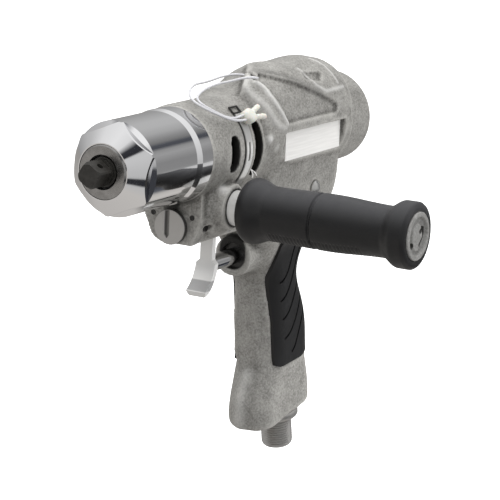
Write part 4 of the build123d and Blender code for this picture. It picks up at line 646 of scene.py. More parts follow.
JOIN_ROUNDS = 70
HUMP_ROUNDS = 3
SKIN_ROUNDS = 3
FULL_STEP = 0.5
SEAT_STEP = 0.1


def near_boxes(points, boxes, fade):
    """1 inside any of the boxes (low and high corners in mm), falling to 0 at fade mm outside them."""
    share = np.zeros(len(points))
    for low, high in boxes:
        outside = np.maximum(np.maximum(np.array(low) - points, points - np.array(high)), 0)
        share = np.maximum(share, np.clip(1 - np.linalg.norm(outside, axis=1) / fade, 0, 1))
    return share


def relaxed(points, edges, weight, rounds):
    """Points after some rounds of p += weight * (mean of the neighbours - p)."""
    first, second = edges.T
    count = np.bincount(edges.ravel(), minlength=len(points))[:, None]
    for _ in range(rounds):
        total = np.empty_like(points)
        for axis in range(3):
            total[:, axis] = np.bincount(first, points[second, axis], len(points))
            total[:, axis] += np.bincount(second, points[first, axis], len(points))
        points = points + weight[:, None] * (total / count - points)
    return points


sharp = points
free = 1 - near_boxes(sharp, SEATS_MM, SEAT_FADE_MM)
joins = near_boxes(sharp, JOINS_MM, JOIN_FADE_MM) * free
hump = near_boxes(sharp, HUMP_MM, HUMP_FADE_MM) * free
points = relaxed(points, edges, FULL_STEP * joins, JOIN_ROUNDS)
points = relaxed(points, edges, FULL_STEP * hump, HUMP_ROUNDS)
points = relaxed(points, edges, SEAT_STEP + (FULL_STEP - SEAT_STEP) * free, SKIN_ROUNDS)
print("furthest step, mm:", round(float(np.linalg.norm(points - sharp, axis=1).max()), 2))

# %% [markdown]
# ### Edges and painted shade
# The shader wants to know the edges and the dark places. A point stands on an edge if it lies further out
# than more rounds of the same softening would leave it. Painted shade fills the windows below the skin, the
# notch beside the selector, the throttle's hole and the ring round the handle's collar, and the same number
# darkens the seam at the rear cover by half. All these could be painted by hand, but written as distances
# they follow the shape.

# %% Edges and painted shade
EDGE_ROUNDS = 6
EDGE_SPAN_MM = 0.25
WINDOWS_MM = [((-84.8, 8.0, -9.5), (-76.6, 30.0, 9.5)), ((-106.8, 8.0, -14.5), (-99.2, 30.0, 14.5))]
WINDOW_SKIN_MM = 23.65
WINDOW_FADE_MM = 0.5
NOTCH_MM = [((-66.0, -4.6, -29.0), (-61.0, 3.8, -23.8))]
DARK_FADE_MM = 0.6
THROTTLE_X_MM = -121.0
THROTTLE_REACH_MM = 10.0
THROTTLE_DARK_MM = [(-59.8, 7.7), (-56.5, 7.6)]
THROTTLE_FADE_MM = 1.0
HANDLE_X = -0.0817
HANDLE_Z = -0.026
COLLAR_RADIUS_MM = 9.7
COLLAR_FACE_MM = 22.9
SEAM_MM = -196.5
SEAM_DARKENING = 0.5


def step_up(value, width):
    """A smooth step from 0 to 1 where value passes through nought, width wide."""
    u = np.clip(value / width + 0.5, 0, 1)
    return u * u * (3 - 2 * u)


casting_mesh.vertices.foreach_set("co", (points * MM).ravel())
casting_mesh.update()
normals = read(casting_mesh.vertices, "normal", 3)
bulge = points - relaxed(points, edges, np.ones(len(points)), EDGE_ROUNDS)
edge_value = np.clip((bulge * normals).sum(1) / EDGE_SPAN_MM, -1, 1)
x, y, z = points.T
in_windows = near_boxes(points, WINDOWS_MM, WINDOW_FADE_MM) > 0
from_handle = np.hypot(x - HANDLE_X / MM, z - HANDLE_Z / MM)
# Painted shade in the windows, the notch and the collar's ring, the seam darkened by half, then the
# throttle's hole
dark_places = [
    in_windows * step_up(WINDOW_SKIN_MM - np.hypot(y, z), WINDOW_FADE_MM),
    near_boxes(points, NOTCH_MM, DARK_FADE_MM),
    (y > COLLAR_FACE_MM) * step_up(COLLAR_RADIUS_MM - from_handle, DARK_FADE_MM),
    SEAM_DARKENING * step_up(SEAM_MM - x, DARK_FADE_MM),
]
near_throttle = np.abs(x - THROTTLE_X_MM) < THROTTLE_REACH_MM
for height, radius in THROTTLE_DARK_MM:
    dark_places.append(near_throttle * step_up(radius - np.hypot(y, z - height), THROTTLE_FADE_MM))
painted_shading = np.max(dark_places, axis=0)
print("share of dark points:", round(float((painted_shading > 0.5).mean()), 3))

# %% [markdown]
# ### Ridges and bosses
# The mould left ridges, hollows and bosses on the casting's flanks. Each could be its own lump, but a line
# that lifts the skin melts into it: the surface rises by height * exp(-(distance / width)^2), and the line
# also says how much painted highlight and painted shade it lays on. A line of a single corner is a boss.

# %% Ridges and bosses
# Height, width, share of painted highlight, share of painted shade, and the line
RIDGES_MM = [
    (0.9, 1.3, 0.55, 0.0, [
        (-115.4, 13.0, 30.3), (-116.5, 17.0, 27.7), (-116.6, 20.5, 24.1), (-118.1, 23.3, 20.2),
        (-119.7, 24.8, 16.9), (-122.2, 25.9, 13.4), (-124.9, 26.4, 9.8),
    ]),
    (0.9, 2.0, 0.3, 0.0, [
        (-114.6, 9.2, 31.6), (-111.3, 9.5, 28.7), (-110.3, 12.3, 25.9), (-110.3, 16.2, 23.0),
        (-111.4, 20.3, 20.0), (-112.7, 23.5, 16.3), (-114.2, 25.1, 12.3), (-117.5, 26.1, 9.3),
        (-123.0, 26.5, 8.0),
    ]),
    (0.4, 1.0, 0.4, 0.0, [
        (-159.7, 12.3, 32.0), (-162.2, 16.2, 28.0), (-163.2, 21.2, 24.3), (-170.2, 23.5, 20.7),
        (-179.1, 23.8, 20.8), (-189.8, 22.9, 20.9),
    ]),
    (0.4, 0.9, 0.45, 0.0, [
        (-180.7, 7.4, 34.4), (-182.9, 11.0, 33.2), (-184.2, 14.3, 31.0), (-184.4, 18.3, 27.9),
        (-185.0, 22.1, 23.4),
    ]),
    (0.0, 2.4, 0.0, 0.4, [
        (-124.0, 9.0, 33.5), (-134.5, 11.2, 32.8), (-138.9, 14.2, 31.3), (-143.8, 16.9, 29.4),
        (-151.9, 20.3, 25.8), (-162.3, 22.7, 21.2), (-168.0, 23.3, 17.6),
    ]),
    (1.8, 3.0, 0.0, 0.0, [(-118.6, 6.0, 32.3), (-121.5, 2.0, 32.8), (-120.8, -3.5, 32.3)]),
    (2.4, 5.0, 0.0, 0.0, [(-104.0, -7.5, 23.0), (-112.0, -10.0, 23.0), (-121.0, -13.5, 23.0)]),
    (0.5, 3.0, 0.2, 0.0, [
        (-144.0, -1.0, -127.2), (-142.3, -2.1, -134.3), (-140.6, -2.4, -141.2), (-139.7, -2.3, -148.2),
        (-140.3, -2.8, -154.6),
    ]),
    (-0.8, 3.2, 0.0, 0.2, [
        (-145.6, -6.8, -126.1), (-144.5, -1.4, -124.5), (-144.9, 4.6, -125.6), (-143.2, 4.1, -131.9),
        (-141.2, 3.2, -138.8), (-139.8, 2.7, -146.5), (-140.2, 2.9, -153.9),
    ]),
    (2.7, 4.0, 0.0, 0.0, [
        (-141.6, -12.4, -66.0), (-141.9, -12.2, -74.0), (-143.8, -11.9, -81.0), (-146.3, -11.7, -87.8),
        (-148.6, -11.6, -99.0), (-150.4, -11.5, -110.7), (-151.1, -11.4, -116.5),
    ]),
    (1.3, 3.0, 0.0, 0.0, [(-144.0, -12.6, -66.0), (-144.4, -12.4, -80.0)]),
    (1.0, 1.9, 0.75, 0.0, [(-111.0, 24.7, 3.7)]),
    (0.8, 2.2, 0.3, 0.0, [(-117.1, 25.0, -1.4)]),
    (0.6, 2.6, 0.7, 0.0, [(-75.2, 20.5, -16.5)]),
]


def near_line(points, line):
    """The least distance from points to a line of corners, run by run."""
    line = np.asarray(line, float)
    least = np.linalg.norm(points - line[0], axis=-1)
    for start, end in zip(line, line[1:]):
        run = end - start
        share = np.clip(((points - start) @ run) / (run @ run), 0, 1)
        least = np.minimum(least, np.linalg.norm(points - start - share[..., None] * run, axis=-1))
    return least


painted_glint = np.zeros(len(points))
for height, width, bare, painted_dark, corners in RIDGES_MM:
    share = np.exp(-((near_line(points, corners) / width) ** 2))
    points = points + height * share[:, None] * normals
    # Painted highlights along crests and bosses, and painted shade along the hollows
    painted_glint = np.maximum(painted_glint, bare * share)
    painted_shading = np.maximum(painted_shading, painted_dark * share)
casting_mesh.vertices.foreach_set("co", (points * MM).ravel())
print("ridges and bosses:", len(RIDGES_MM))

# %% [markdown]
# ### The casting as a piece
# The even net has more points than flat stretches need, so it is thinned before it becomes a piece. The
# three numbers go into the mesh first, and thinning carries them along.

# %% Casting as a piece
KEEP_SHARE = 0.47
for name, value in {"edge": edge_value, "painted_shading": painted_shading, "painted_glint": painted_glint}.items():
    casting_mesh.attributes.new(name, "FLOAT", "POINT").data.foreach_set("value", value)
casting_mesh = modified("cast_housing", casting_mesh, "DECIMATE", ratio=KEEP_SHARE)
casting_mesh.shade_smooth()
casting_mesh.materials.clear()
casting_mesh.materials.append(cast)
casting = add_object("cast_housing", casting_mesh)
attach(casting, "housing")
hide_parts("main_housing")
print("cast housing triangles:", sum(len(face.vertices) - 2 for face in casting_mesh.polygons))

# %% [markdown]
# ## The side handle's grip
# The rubber grip is a body of revolution whose radius runs through a few knots, level at each one, with a
# ring groove and, on its underside, a stretch of fine ribs for the fingers. A turned profile with a bump
# map would lack the ribs' outline, so the radius is a function of the place along the grip and round it.

# %% Profile of the handle's grip
GRIP_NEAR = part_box("handle_grip")[0][1]
GRIP_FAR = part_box("handle_grip")[1][1]
GRIP_KNOTS = np.array([
    GRIP_NEAR + 0.005, GRIP_NEAR + 0.015, GRIP_NEAR + 0.047, GRIP_FAR - 0.0145, GRIP_FAR - 0.007,
])
GRIP_RADII = np.array([0.016, 0.0132, 0.01365, 0.0124, 0.016])
GRIP_STEP = 0.00024
GRIP_BORE = 0.006
GROOVE_PLACE = GRIP_NEAR + 0.04
GROOVE_HALF_WIDTH = 0.0007
GROOVE_DEPTH = 0.0009
NEAR_DOME = 0.005
DOME_STEPS = 12
RIM_BEVEL = 0.0015
RIM_SHARE = 0.4
LIP = 0.0004
CAP_SEAT = 0.01152
CAP_SEAT_DEPTH = 0.004


def level_steps(place, knots, values):
    """Values that run through the knots and are level at each: v0 + (v1 - v0) * (3 u^2 - 2 u^3)."""
    left = np.clip(np.searchsorted(knots, place) - 1, 0, len(knots) - 2)
    u = np.clip((place - knots[left]) / (knots[left + 1] - knots[left]), 0, 1)
    return values[left] + (values[left + 1] - values[left]) * u * u * (3 - 2 * u)


def handle_profile():
    """Places and radii from the near dome over the far rim and back through the bore, and which are outside.

    Radius(y) = that of the knots - depth * exp(-((y - groove) / half width)^4) on the body.
    """
    dome = np.linspace(0, math.pi / 2, DOME_STEPS)[::-1]
    near_y = GRIP_NEAR + NEAR_DOME * (1 - np.sin(dome))
    near_r = GRIP_RADII[0] - NEAR_DOME * (1 - np.cos(dome))
    body_y = np.arange(GRIP_NEAR + NEAR_DOME, GRIP_FAR - RIM_BEVEL, GRIP_STEP)
    body_r = level_steps(body_y, GRIP_KNOTS, GRIP_RADII)
    body_r = body_r - GROOVE_DEPTH * np.exp(-(((body_y - GROOVE_PLACE) / GROOVE_HALF_WIDTH) ** 4))
    ends = np.array([
        (GRIP_FAR - RIM_SHARE * RIM_BEVEL, GRIP_RADII[-1] - RIM_SHARE * RIM_BEVEL),
        (GRIP_FAR, GRIP_RADII[-1] - RIM_BEVEL - LIP),
        (GRIP_FAR, CAP_SEAT + LIP),
        (GRIP_FAR - LIP, CAP_SEAT),
        (GRIP_FAR - CAP_SEAT_DEPTH, CAP_SEAT),
        (GRIP_FAR - CAP_SEAT_DEPTH, GRIP_BORE),
        (GRIP_NEAR, GRIP_BORE),
        (near_y[0], near_r[0]),
    ])
    place = np.concatenate([near_y, body_y, ends[:, 0]])
    radius = np.concatenate([near_r, body_r, ends[:, 1]])
    return place, radius, np.arange(len(place)) < len(place) - len(ends)


print("rings of the grip:", len(handle_profile()[0]))

# %% [markdown]
# ### Its ribs and painted sheen
# The ribs are a wave along the grip that only the underside takes, and a painted sheen lies on what faces
# up. Both are shares of the angle round the grip, so they fade out softly towards the sides.

# %% Handle grip
HANDLE_AXIS = (0, 1, 0)
HANDLE_ACROSS = (-1, 0, 0)
RIBS_FROM = 0.047
RIBS_TO = 0.0965
RIBS_FADE = 0.001
RIB_PITCH = 0.0019
RIB_DEPTH = 0.0006
RIB_STEEPNESS = 1.1
RIB_FACING = math.radians(-96)
RIB_SPREAD = math.radians(52)
RIB_ENDS = math.radians(7)
SHEEN_FROM = 0.62
SHEEN_FADE = 0.7


def spun(height, radius, axis, centre, across, columns):
    """Points of a turned body, with its heights and radii given by row, or by row and column.

    Point = centre + height * axis + radius * (cos t * across + sin t * (axis x across)).
    """
    turn = full_turn(columns)
    ring = np.outer(np.cos(turn), across) + np.outer(np.sin(turn), np.cross(axis, across))
    return np.asarray(centre) + height[..., None] * np.asarray(axis) + radius[..., None] * ring


def handle_surface(columns):
    """Points of the grip: radius(y, t) = profile(y) - depth * ribs(y) * facing(t), and the painted sheen on
    it.
    """
    place, radius, outside = handle_profile()
    turn = full_turn(columns)
    apart = np.abs((turn - RIB_FACING + math.pi) % math.tau - math.pi)
    facing = np.clip((RIB_SPREAD - apart) / RIB_ENDS, 0, 1)
    wave = np.clip(0.5 + RIB_STEEPNESS * np.cos(math.tau * (place - RIBS_FROM) / RIB_PITCH), 0, 1)
    along = np.clip((place - RIBS_FROM) / RIBS_FADE, 0, 1) * np.clip((RIBS_TO - place) / RIBS_FADE, 0, 1)
    reach = radius[:, None] - RIB_DEPTH * (outside * along * wave)[:, None] * facing
    # Painted sheen, lighter on what faces up
    top_sheen = np.tile(step_up(np.sin(turn) - SHEEN_FROM, SHEEN_FADE), (len(place), 1))
    return spun(place[:, None], reach, HANDLE_AXIS, (HANDLE_X, 0, HANDLE_Z), HANDLE_ACROSS, columns), top_sheen


handle = grid_piece("rubber_handle", rubber, *handle_surface(168))
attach(handle, "housing")
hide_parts("handle_grip")
print("handle faces:", len(handle.data.polygons))

# %% [markdown]
# ## The handle's end cap
# A cast disc seen nearly head on. Its relief could be cut by booleans, but as a height over the face it is
# one function of the place: a rim, a dish, a hub in the dish, a hooked groove in the hub, and a hole. The
# same shares say where painted shade lies.

# %% Handle cap
CAP_RADIUS_MM = 11.5
CAP_DEPTH_MM = 4.4
CAP_BEVEL_MM = 0.35
CAP_RINGS_FROM_MM = 10.9
CAP_RINGS = 72
CAP_FACE = GRIP_FAR + 0.0007
HOOK_MM = [(2.4, 2.0), (4.6, 3.1), (6.2, 2.6), (6.2, 0.6), (5.2, -1.6), (2.3, -4.4)]
HOOK_HALF_MM = 0.85
HOOK_WALL_MM = 0.5
HOLE_MM = (-6.05, -4.1)
HOLE_RADIUS_MM = 1.45
HOLE_WALL_MM = 0.35
HOLLOW_DEPTH_MM = 1.2
DISH_RADIUS_MM = 9.0
DISH_WALL_MM = 1.0
DISH_DEPTH_MM = 1.1
HUB_MM = (-0.6, -0.4)
HUB_RADIUS_MM = 5.2
HUB_SQUEEZE = 0.8
HUB_WALL_MM = 0.8
HUB_HEIGHT_MM = 0.6
SHADE_MARGIN_MM = 0.3
HOLLOW_SHADE = 0.92
DISH_SHADE = 0.3


def cap_hollows(right, up, margin=0.0):
    """Share of the hooked groove and of the hole at a place, 1 inside them, each wider by a margin in mm."""
    from_hook = near_line(np.stack([right, up], axis=-1), HOOK_MM)
    from_hole = np.hypot(right - HOLE_MM[0], up - HOLE_MM[1])
    groove = step_up(HOOK_HALF_MM + margin - from_hook, HOOK_WALL_MM)
    return np.maximum(groove, step_up(HOLE_RADIUS_MM + margin - from_hole, HOLE_WALL_MM))


def cap_surface(columns):
    """Rings from the back over the side wall to the middle of the face, and the painted shade on them.

    Height on the face = hub height * hub - dish depth * dish - hollow depth * hollows.
    """
    wall = np.array([(0.0, -CAP_DEPTH_MM), (CAP_RADIUS_MM, -CAP_DEPTH_MM), (CAP_RADIUS_MM, -CAP_BEVEL_MM)])
    face = np.linspace(CAP_RINGS_FROM_MM, 0.0, CAP_RINGS)
    ring = np.concatenate([wall[:, 0], [CAP_RADIUS_MM - CAP_BEVEL_MM], face])[:, None]
    right = ring * np.cos(full_turn(columns))
    up = ring * np.sin(full_turn(columns))
    dish = step_up(DISH_RADIUS_MM - np.hypot(right, up), DISH_WALL_MM)
    from_hub = np.hypot(right - HUB_MM[0], (up - HUB_MM[1]) * HUB_SQUEEZE)
    hub = step_up(HUB_RADIUS_MM - from_hub, HUB_WALL_MM)
    height = HUB_HEIGHT_MM * hub - DISH_DEPTH_MM * dish - HOLLOW_DEPTH_MM * cap_hollows(right, up)
    height[: len(wall)] = wall[:, 1:]
    # Painted shade in the groove and the hole, and round the hub in the dish
    painted_dark = np.maximum(HOLLOW_SHADE * cap_hollows(right, up, SHADE_MARGIN_MM), DISH_SHADE * dish * (1 - hub))
    middle = (HANDLE_X, CAP_FACE, HANDLE_Z)
    return spun(height * MM, ring * MM, HANDLE_AXIS, middle, HANDLE_ACROSS, columns), painted_dark


cap = grid_piece("cast_cap", bright_cast, *cap_surface(160))
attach(cap, "housing")
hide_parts("handle_cap")
print("cap faces:", len(cap.data.polygons))

# %% [markdown]
# ## The inlet thread
# The nipple is turned steel with a flange and a pipe thread. A thread could be a screw modifier over a
# profile, but one formula gives thread, flange and bore in one skin: the radius falls and rises once in
# every pitch along the axis, and shifts by one pitch in every turn, which is a helix.

# %% Threaded nipple
INLET = next(mount for mount in frame["record"]["mounts"] if mount["name"] == "air_inlet")
FLANGE_WIDTH = 0.0048
FLANGE_RADIUS = 0.012
FLANGE_BEVEL = 0.001
THREAD_LENGTH = INLET["dims"]["length_mm"] * MM
THREAD_RADIUS = INLET["dims"]["r_mm"] * MM
THREAD_DEPTH = 0.00086
THREAD_PITCH = 0.001337
THREAD_STEPS = 9
THREAD_FADE = 0.0012
THREAD_LEAD = 0.0008
FOOT_OUT = np.array(INLET["axis"])
FOOT = np.array(INLET["pos_m"]) - (FLANGE_WIDTH + THREAD_LENGTH / 2) * FOOT_OUT
NIPPLE_END = FLANGE_WIDTH + THREAD_LENGTH
NIPPLE_ROOT = -0.01
NIPPLE_STEM = 0.008
NIPPLE_NECK = 0.0078
NIPPLE_BORE = 0.0055
NIPPLE_EDGE = 0.0002
THREAD_FROM = FLANGE_WIDTH + 0.0008
THREAD_TO = NIPPLE_END - 0.0004
TIP_RADIUS = THREAD_RADIUS - THREAD_DEPTH
ROUNDED = (0.4 * FLANGE_BEVEL, FLANGE_RADIUS - 0.3 * FLANGE_BEVEL)
NIPPLE_BODY = np.array([
    (NIPPLE_ROOT, NIPPLE_BORE),
    (NIPPLE_ROOT, NIPPLE_STEM),
    (0.0, NIPPLE_STEM),
    (0.0, FLANGE_RADIUS - FLANGE_BEVEL),
    ROUNDED,
    (FLANGE_BEVEL, FLANGE_RADIUS),
    (FLANGE_WIDTH - FLANGE_BEVEL, FLANGE_RADIUS),
    (FLANGE_WIDTH - ROUNDED[0], ROUNDED[1]),
    (FLANGE_WIDTH, FLANGE_RADIUS - FLANGE_BEVEL),
    (FLANGE_WIDTH, NIPPLE_NECK),
])
NIPPLE_TIP = np.array([
    (NIPPLE_END - NIPPLE_EDGE, TIP_RADIUS - NIPPLE_EDGE),
    (NIPPLE_END, TIP_RADIUS - 3 * NIPPLE_EDGE),
    (NIPPLE_END, NIPPLE_BORE + 2 * NIPPLE_EDGE),
    (NIPPLE_END - 2 * NIPPLE_EDGE, NIPPLE_BORE),
    (NIPPLE_ROOT, NIPPLE_BORE),
])


def nipple_surface(columns):
    """Points of the nipple: radius(s, t) = outer(s) - depth * cut(s) * wave(s / pitch - t / tau).

    The wave is a zigzag from 0 to 1, and the cut fades out towards the tip, where the radius leads in.
    """
    thread = np.arange(THREAD_FROM, THREAD_TO, THREAD_PITCH / THREAD_STEPS)
    fade = np.clip((THREAD_TO - thread) / THREAD_FADE, 0, 1)
    place = np.concatenate([NIPPLE_BODY[:, 0], thread, NIPPLE_TIP[:, 0]])[:, None]
    lead_in = THREAD_RADIUS - THREAD_LEAD * (1 - fade)
    radius = np.concatenate([NIPPLE_BODY[:, 1], lead_in, NIPPLE_TIP[:, 1]])[:, None]
    cut = np.concatenate([np.zeros(len(NIPPLE_BODY)), fade, np.zeros(len(NIPPLE_TIP))])[:, None]
    wave = np.abs(2 * ((place / THREAD_PITCH - full_turn(columns) / math.tau) % 1.0) - 1)
    return spun(place, radius - THREAD_DEPTH * cut * wave, FOOT_OUT, FOOT, (0, 1, 0), columns)


nipple = grid_piece("threaded_nipple", zinc, nipple_surface(120))
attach(nipple, "housing")
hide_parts("inlet_nipple")
print("nipple faces:", len(nipple.data.polygons))

# %% [markdown]
# ## The band over the windows
# A bright steel strap lies in a bed on the barrel, with a slot in its middle; painted shade darkens bed and
# slot. Strap, bed and slot could be three pieces, but one sheet of points does it all: its height over the
# barrel is a function of the place across and along the strap, and a second sheet closes it underneath. Its
# upper end takes a painted shade in place of a darker reflection, and its lower end is darker.

# %% Window band
BAND_LOW, BAND_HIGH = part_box("window_band")
BAND_MIDDLE_MM = (BAND_LOW[0] + BAND_HIGH[0]) / 2 / MM
BAND_HALF_MM = (BAND_HIGH[0] - BAND_LOW[0]) / 2 / MM
BARREL_MM = 23.8
BAND_REACH = math.radians(47)
BAND_SUNK_MM = 0.4
STRAP_HALF_MM = 2.75
STRAP_WALL_MM = 0.3
STRAP_HEIGHT_MM = 0.7
BED_HEIGHT_MM = 0.06
SLOT_HALF_MM = (0.75, 3.9)
SLOT_WALL_MM = 0.25
# The painted shade on the upper end, and the darker lower end
UPPER_SHADE_FROM = math.radians(10)
UPPER_SHADE_FADE = 0.2
UPPER_SHADE = 0.42
DARK_END_BELOW = math.radians(-33)
DARK_END_FADE = 0.12
DARK_END_SHARE = 0.75
RIM_MARGIN = 1e-6


def strap_share(across, along):
    """1 on the strap, 0 on its bed and in its slot; the slot is a rounded bar, wide by long."""
    strap_top = step_up(STRAP_HALF_MM - np.abs(across), STRAP_WALL_MM)
    straight = np.maximum(np.abs(along) - SLOT_HALF_MM[1], 0)
    return strap_top * (1 - step_up(SLOT_HALF_MM[0] - np.hypot(across, straight), SLOT_WALL_MM))


def band_surface(across_steps, along_steps):
    """Points of the band: radius = barrel + bed + share * (height - bed) on top, and sunk in it below."""
    over = np.linspace(-BAND_HALF_MM, BAND_HALF_MM, across_steps)
    across = np.concatenate([over, over[-2:0:-1]])[None, :]
    turn = np.linspace(-BAND_REACH, BAND_REACH, along_steps)[:, None]
    share = strap_share(across, turn * BARREL_MM)
    top = np.arange(across.shape[1]) < across_steps
    inside = top & (np.abs(across) < BAND_HALF_MM - RIM_MARGIN) & (np.abs(turn) < BAND_REACH - RIM_MARGIN)
    raised = BED_HEIGHT_MM + share * (STRAP_HEIGHT_MM - BED_HEIGHT_MM)
    radius = BARREL_MM + np.where(inside, raised, -BAND_SUNK_MM)
    # Painted shade on the upper end, the bed and the slot, and the darker lower end
    dull = UPPER_SHADE * step_up(turn - UPPER_SHADE_FROM, UPPER_SHADE_FADE)
    dark_end = DARK_END_SHARE * step_up(DARK_END_BELOW - turn, DARK_END_FADE)
    painted_dark = np.maximum(1 - share, np.maximum(dull, dark_end))
    x = np.broadcast_to(BAND_MIDDLE_MM + across, radius.shape)
    return np.stack([x, radius * np.cos(turn), radius * np.sin(turn)], axis=2) * MM, painted_dark


band = grid_piece("bright_band", strap, *band_surface(61, 281))
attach(band, "housing")
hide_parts("window_band")
print("band faces:", len(band.data.polygons))

# %% [markdown]
# ## The selector
# A turned disc with a slot beside its middle that ends in a point. It is one piece with its spool, which
# stays out of sight in the block, and it turns with the spool. Like the cap it is made of rings whose height
# the slot sinks, which keeps the slot's steep walls in one skin. Painted shade darkens its rim and its slot,
# less on the slot's lit side.

# %% Selector
SELECTOR_LOW, SELECTOR_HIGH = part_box("selector_valve")
SELECTOR_FACE = SELECTOR_HIGH[0]
SELECTOR_Z = (SELECTOR_LOW[2] + SELECTOR_HIGH[2]) / 2
SELECTOR_MM = (SELECTOR_HIGH[2] - SELECTOR_LOW[2]) / 2 / MM
SELECTOR_THICK_MM = 2.6
SELECTOR_RINGS = 90
RIM_EDGE_MM = 0.25
REAR_EDGE_MM = 0.2
SPOOL_MM = 6.4
SPOOL_LENGTH_MM = (SELECTOR_FACE - SELECTOR_LOW[0]) / MM
KEY_HALF_MM = 1.25
KEY_SHIFT_MM = -1.5
KEY_POINT_MM = -5.6
KEY_TAPER = 0.7
KEY_WALL_MM = 0.4
KEY_DEPTH_MM = 1.2
KEY_SHADE = 0.62
KEY_LIT = 0.2
SELECTOR_RIM_SHADE = 0.9


def key_slot(right, up):
    """Share of the slot at a place on the face: from the top edge down to a point, with steep walls."""
    half = np.clip((up - KEY_POINT_MM) * KEY_TAPER, 0, KEY_HALF_MM)
    return step_up(half - np.abs(right - KEY_SHIFT_MM), KEY_WALL_MM) * (up > KEY_POINT_MM)


def selector_surface(columns):
    """Rings from the spool's far end over the rim to the middle of the face, and the painted shade on them.

    Height = that of the turned profile - depth * slot, at mm to the right of and above the disc's middle.
    """
    profile = np.array([
        (-SPOOL_LENGTH_MM, 0.0),
        (-SPOOL_LENGTH_MM, SPOOL_MM),
        (-SELECTOR_THICK_MM, SPOOL_MM),
        (-SELECTOR_THICK_MM, SELECTOR_MM - REAR_EDGE_MM),
        (REAR_EDGE_MM - SELECTOR_THICK_MM, SELECTOR_MM),
        (-RIM_EDGE_MM, SELECTOR_MM),
        (0.0, SELECTOR_MM - RIM_EDGE_MM),
    ])
    face = np.linspace(SELECTOR_MM - RIM_EDGE_MM - REAR_EDGE_MM, 0.0, SELECTOR_RINGS)
    ring = np.concatenate([profile[:, 1], face])[:, None]
    right = ring * np.cos(full_turn(columns))
    up = ring * np.sin(full_turn(columns))
    slot = key_slot(right, up)
    slot[: len(profile)] = 0
    height = np.concatenate([profile[:, 0], np.zeros(len(face))])[:, None] - KEY_DEPTH_MM * slot
    # Painted shade in the slot, lighter on its lit side, and round the rim
    painted_dark = slot * (KEY_SHADE - KEY_LIT * np.clip(right - KEY_SHIFT_MM, -1, 1))
    painted_dark[: len(profile) - 1] = SELECTOR_RIM_SHADE
    middle = (SELECTOR_FACE, 0, SELECTOR_Z)
    return spun(height * MM, ring * MM, (1, 0, 0), middle, (0, 1, 0), columns), painted_dark


selector = grid_piece("slotted_selector", turned_disc, *selector_surface(240))
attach(selector, "selector")
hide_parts("selector_valve")
print("selector faces:", len(selector.data.polygons))

# %% [markdown]
# ### Its index marks
# Two punched dots on the block's face tell the selector's places. The block is too coarse a net for so small
# a mark, so each dot is a shallow dark cup of its own, turned from a short profile.

# %% Index dots
BLOCK_GAP = 0.0003
DOT_LIFT = 0.00025
DOT_X = SELECTOR_FACE - SELECTOR_THICK_MM * MM - BLOCK_GAP + DOT_LIFT
DOT_RADIUS = 0.0013
DOT_PITCH = 0.0122
DOT_TURNS = [math.radians(27), math.radians(153)]
DOT_CUP = [(-0.0009, 0.0), (-0.0009, 1.0), (0.00003, 1.0), (0.00006, 0.9), (-0.0002, 0.6), (-0.0004, 0.0)]


def turned_piece(name, material, profile, radius, axis, middle, columns):
    """A small turned piece along an axis, from a profile of heights in metres and shares of its radius."""
    height, share = np.hsplit(np.array(profile), 2)
    return grid_piece(name, material, spun(height, share * radius, axis, middle, np.roll(axis, 1), columns))


for number, turn in enumerate(DOT_TURNS):
    middle = (DOT_X, DOT_PITCH * math.cos(turn), SELECTOR_Z + DOT_PITCH * math.sin(turn))
    dot = turned_piece(f"index_dot_{number + 1}", oxide, DOT_CUP, DOT_RADIUS, (1, 0, 0), middle, 32)
    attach(dot, "housing")
print("index dots:", len(DOT_TURNS))

# %% [markdown]
# ## The detent screw
# A black plug in the side of the front block holds the detent's spring. It is a short turned piece across
# the tool, set into the casting, with a shallow dish in its face. The softened casting hides the plain
# solid's edge, so the dressed plug stands a little further out.

# %% Detent screw
SCREW_LOW, SCREW_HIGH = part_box("detent_screw")
SCREW_RADIUS = 0.0018
SCREW_PROUD = 0.0011
SCREW_PROFILE = [(-0.0028, 0.0), (-0.0028, 1.0), (0.0, 1.0), (0.0, 0.92), (-0.0004, 0.7), (-0.0004, 0.0)]
middle = (
    (SCREW_LOW[0] + SCREW_HIGH[0]) / 2,
    SCREW_HIGH[1] + SCREW_PROUD,
    (SCREW_LOW[2] + SCREW_HIGH[2]) / 2,
)
screw = turned_piece("detent_plug", oxide, SCREW_PROFILE, SCREW_RADIUS, (0, 1, 0), middle, 40)
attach(screw, "housing")
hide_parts("detent_screw")
print("detent plug faces:", len(screw.data.polygons))

# %% [markdown]
# ## The band's wire
# Two short ends of locking wire stand off below the band. A straight wire would look cut from bar, so each
# path bows a little between its ends.

# %% Band wire
WIRE_RADIUS = 0.00032
WIRE_ROOT = np.array([-0.0972, 0.0222, -0.0094])
WIRE_TIPS = [np.array([-0.0984, 0.0252, -0.0126]), np.array([-0.0970, 0.0236, -0.0136])]
WIRE_BOW = np.array([-0.0004, 0.0006, 0.0])
share = np.linspace(0, 1, 12)[:, None]
for number, tip in enumerate(WIRE_TIPS):
    path = WIRE_ROOT + share * (tip - WIRE_ROOT) + WIRE_BOW * np.sin(math.pi * share)
    wire = grid_piece(f"band_wire_{number + 1}", lever, tube_surface(path, WIRE_RADIUS, 10))
    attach(wire, "housing")
print("wire ends:", len(WIRE_TIPS))

# %% [markdown]
# ## The studio
# Polished metal shows its surroundings. They could be a picture of a studio, but soft bright and dark strips
# that run along the tool, as in a light tent with gaps, are a few numbers: light by angle about the X axis.
# Several such rows stand one behind the other along X and fade into each other.

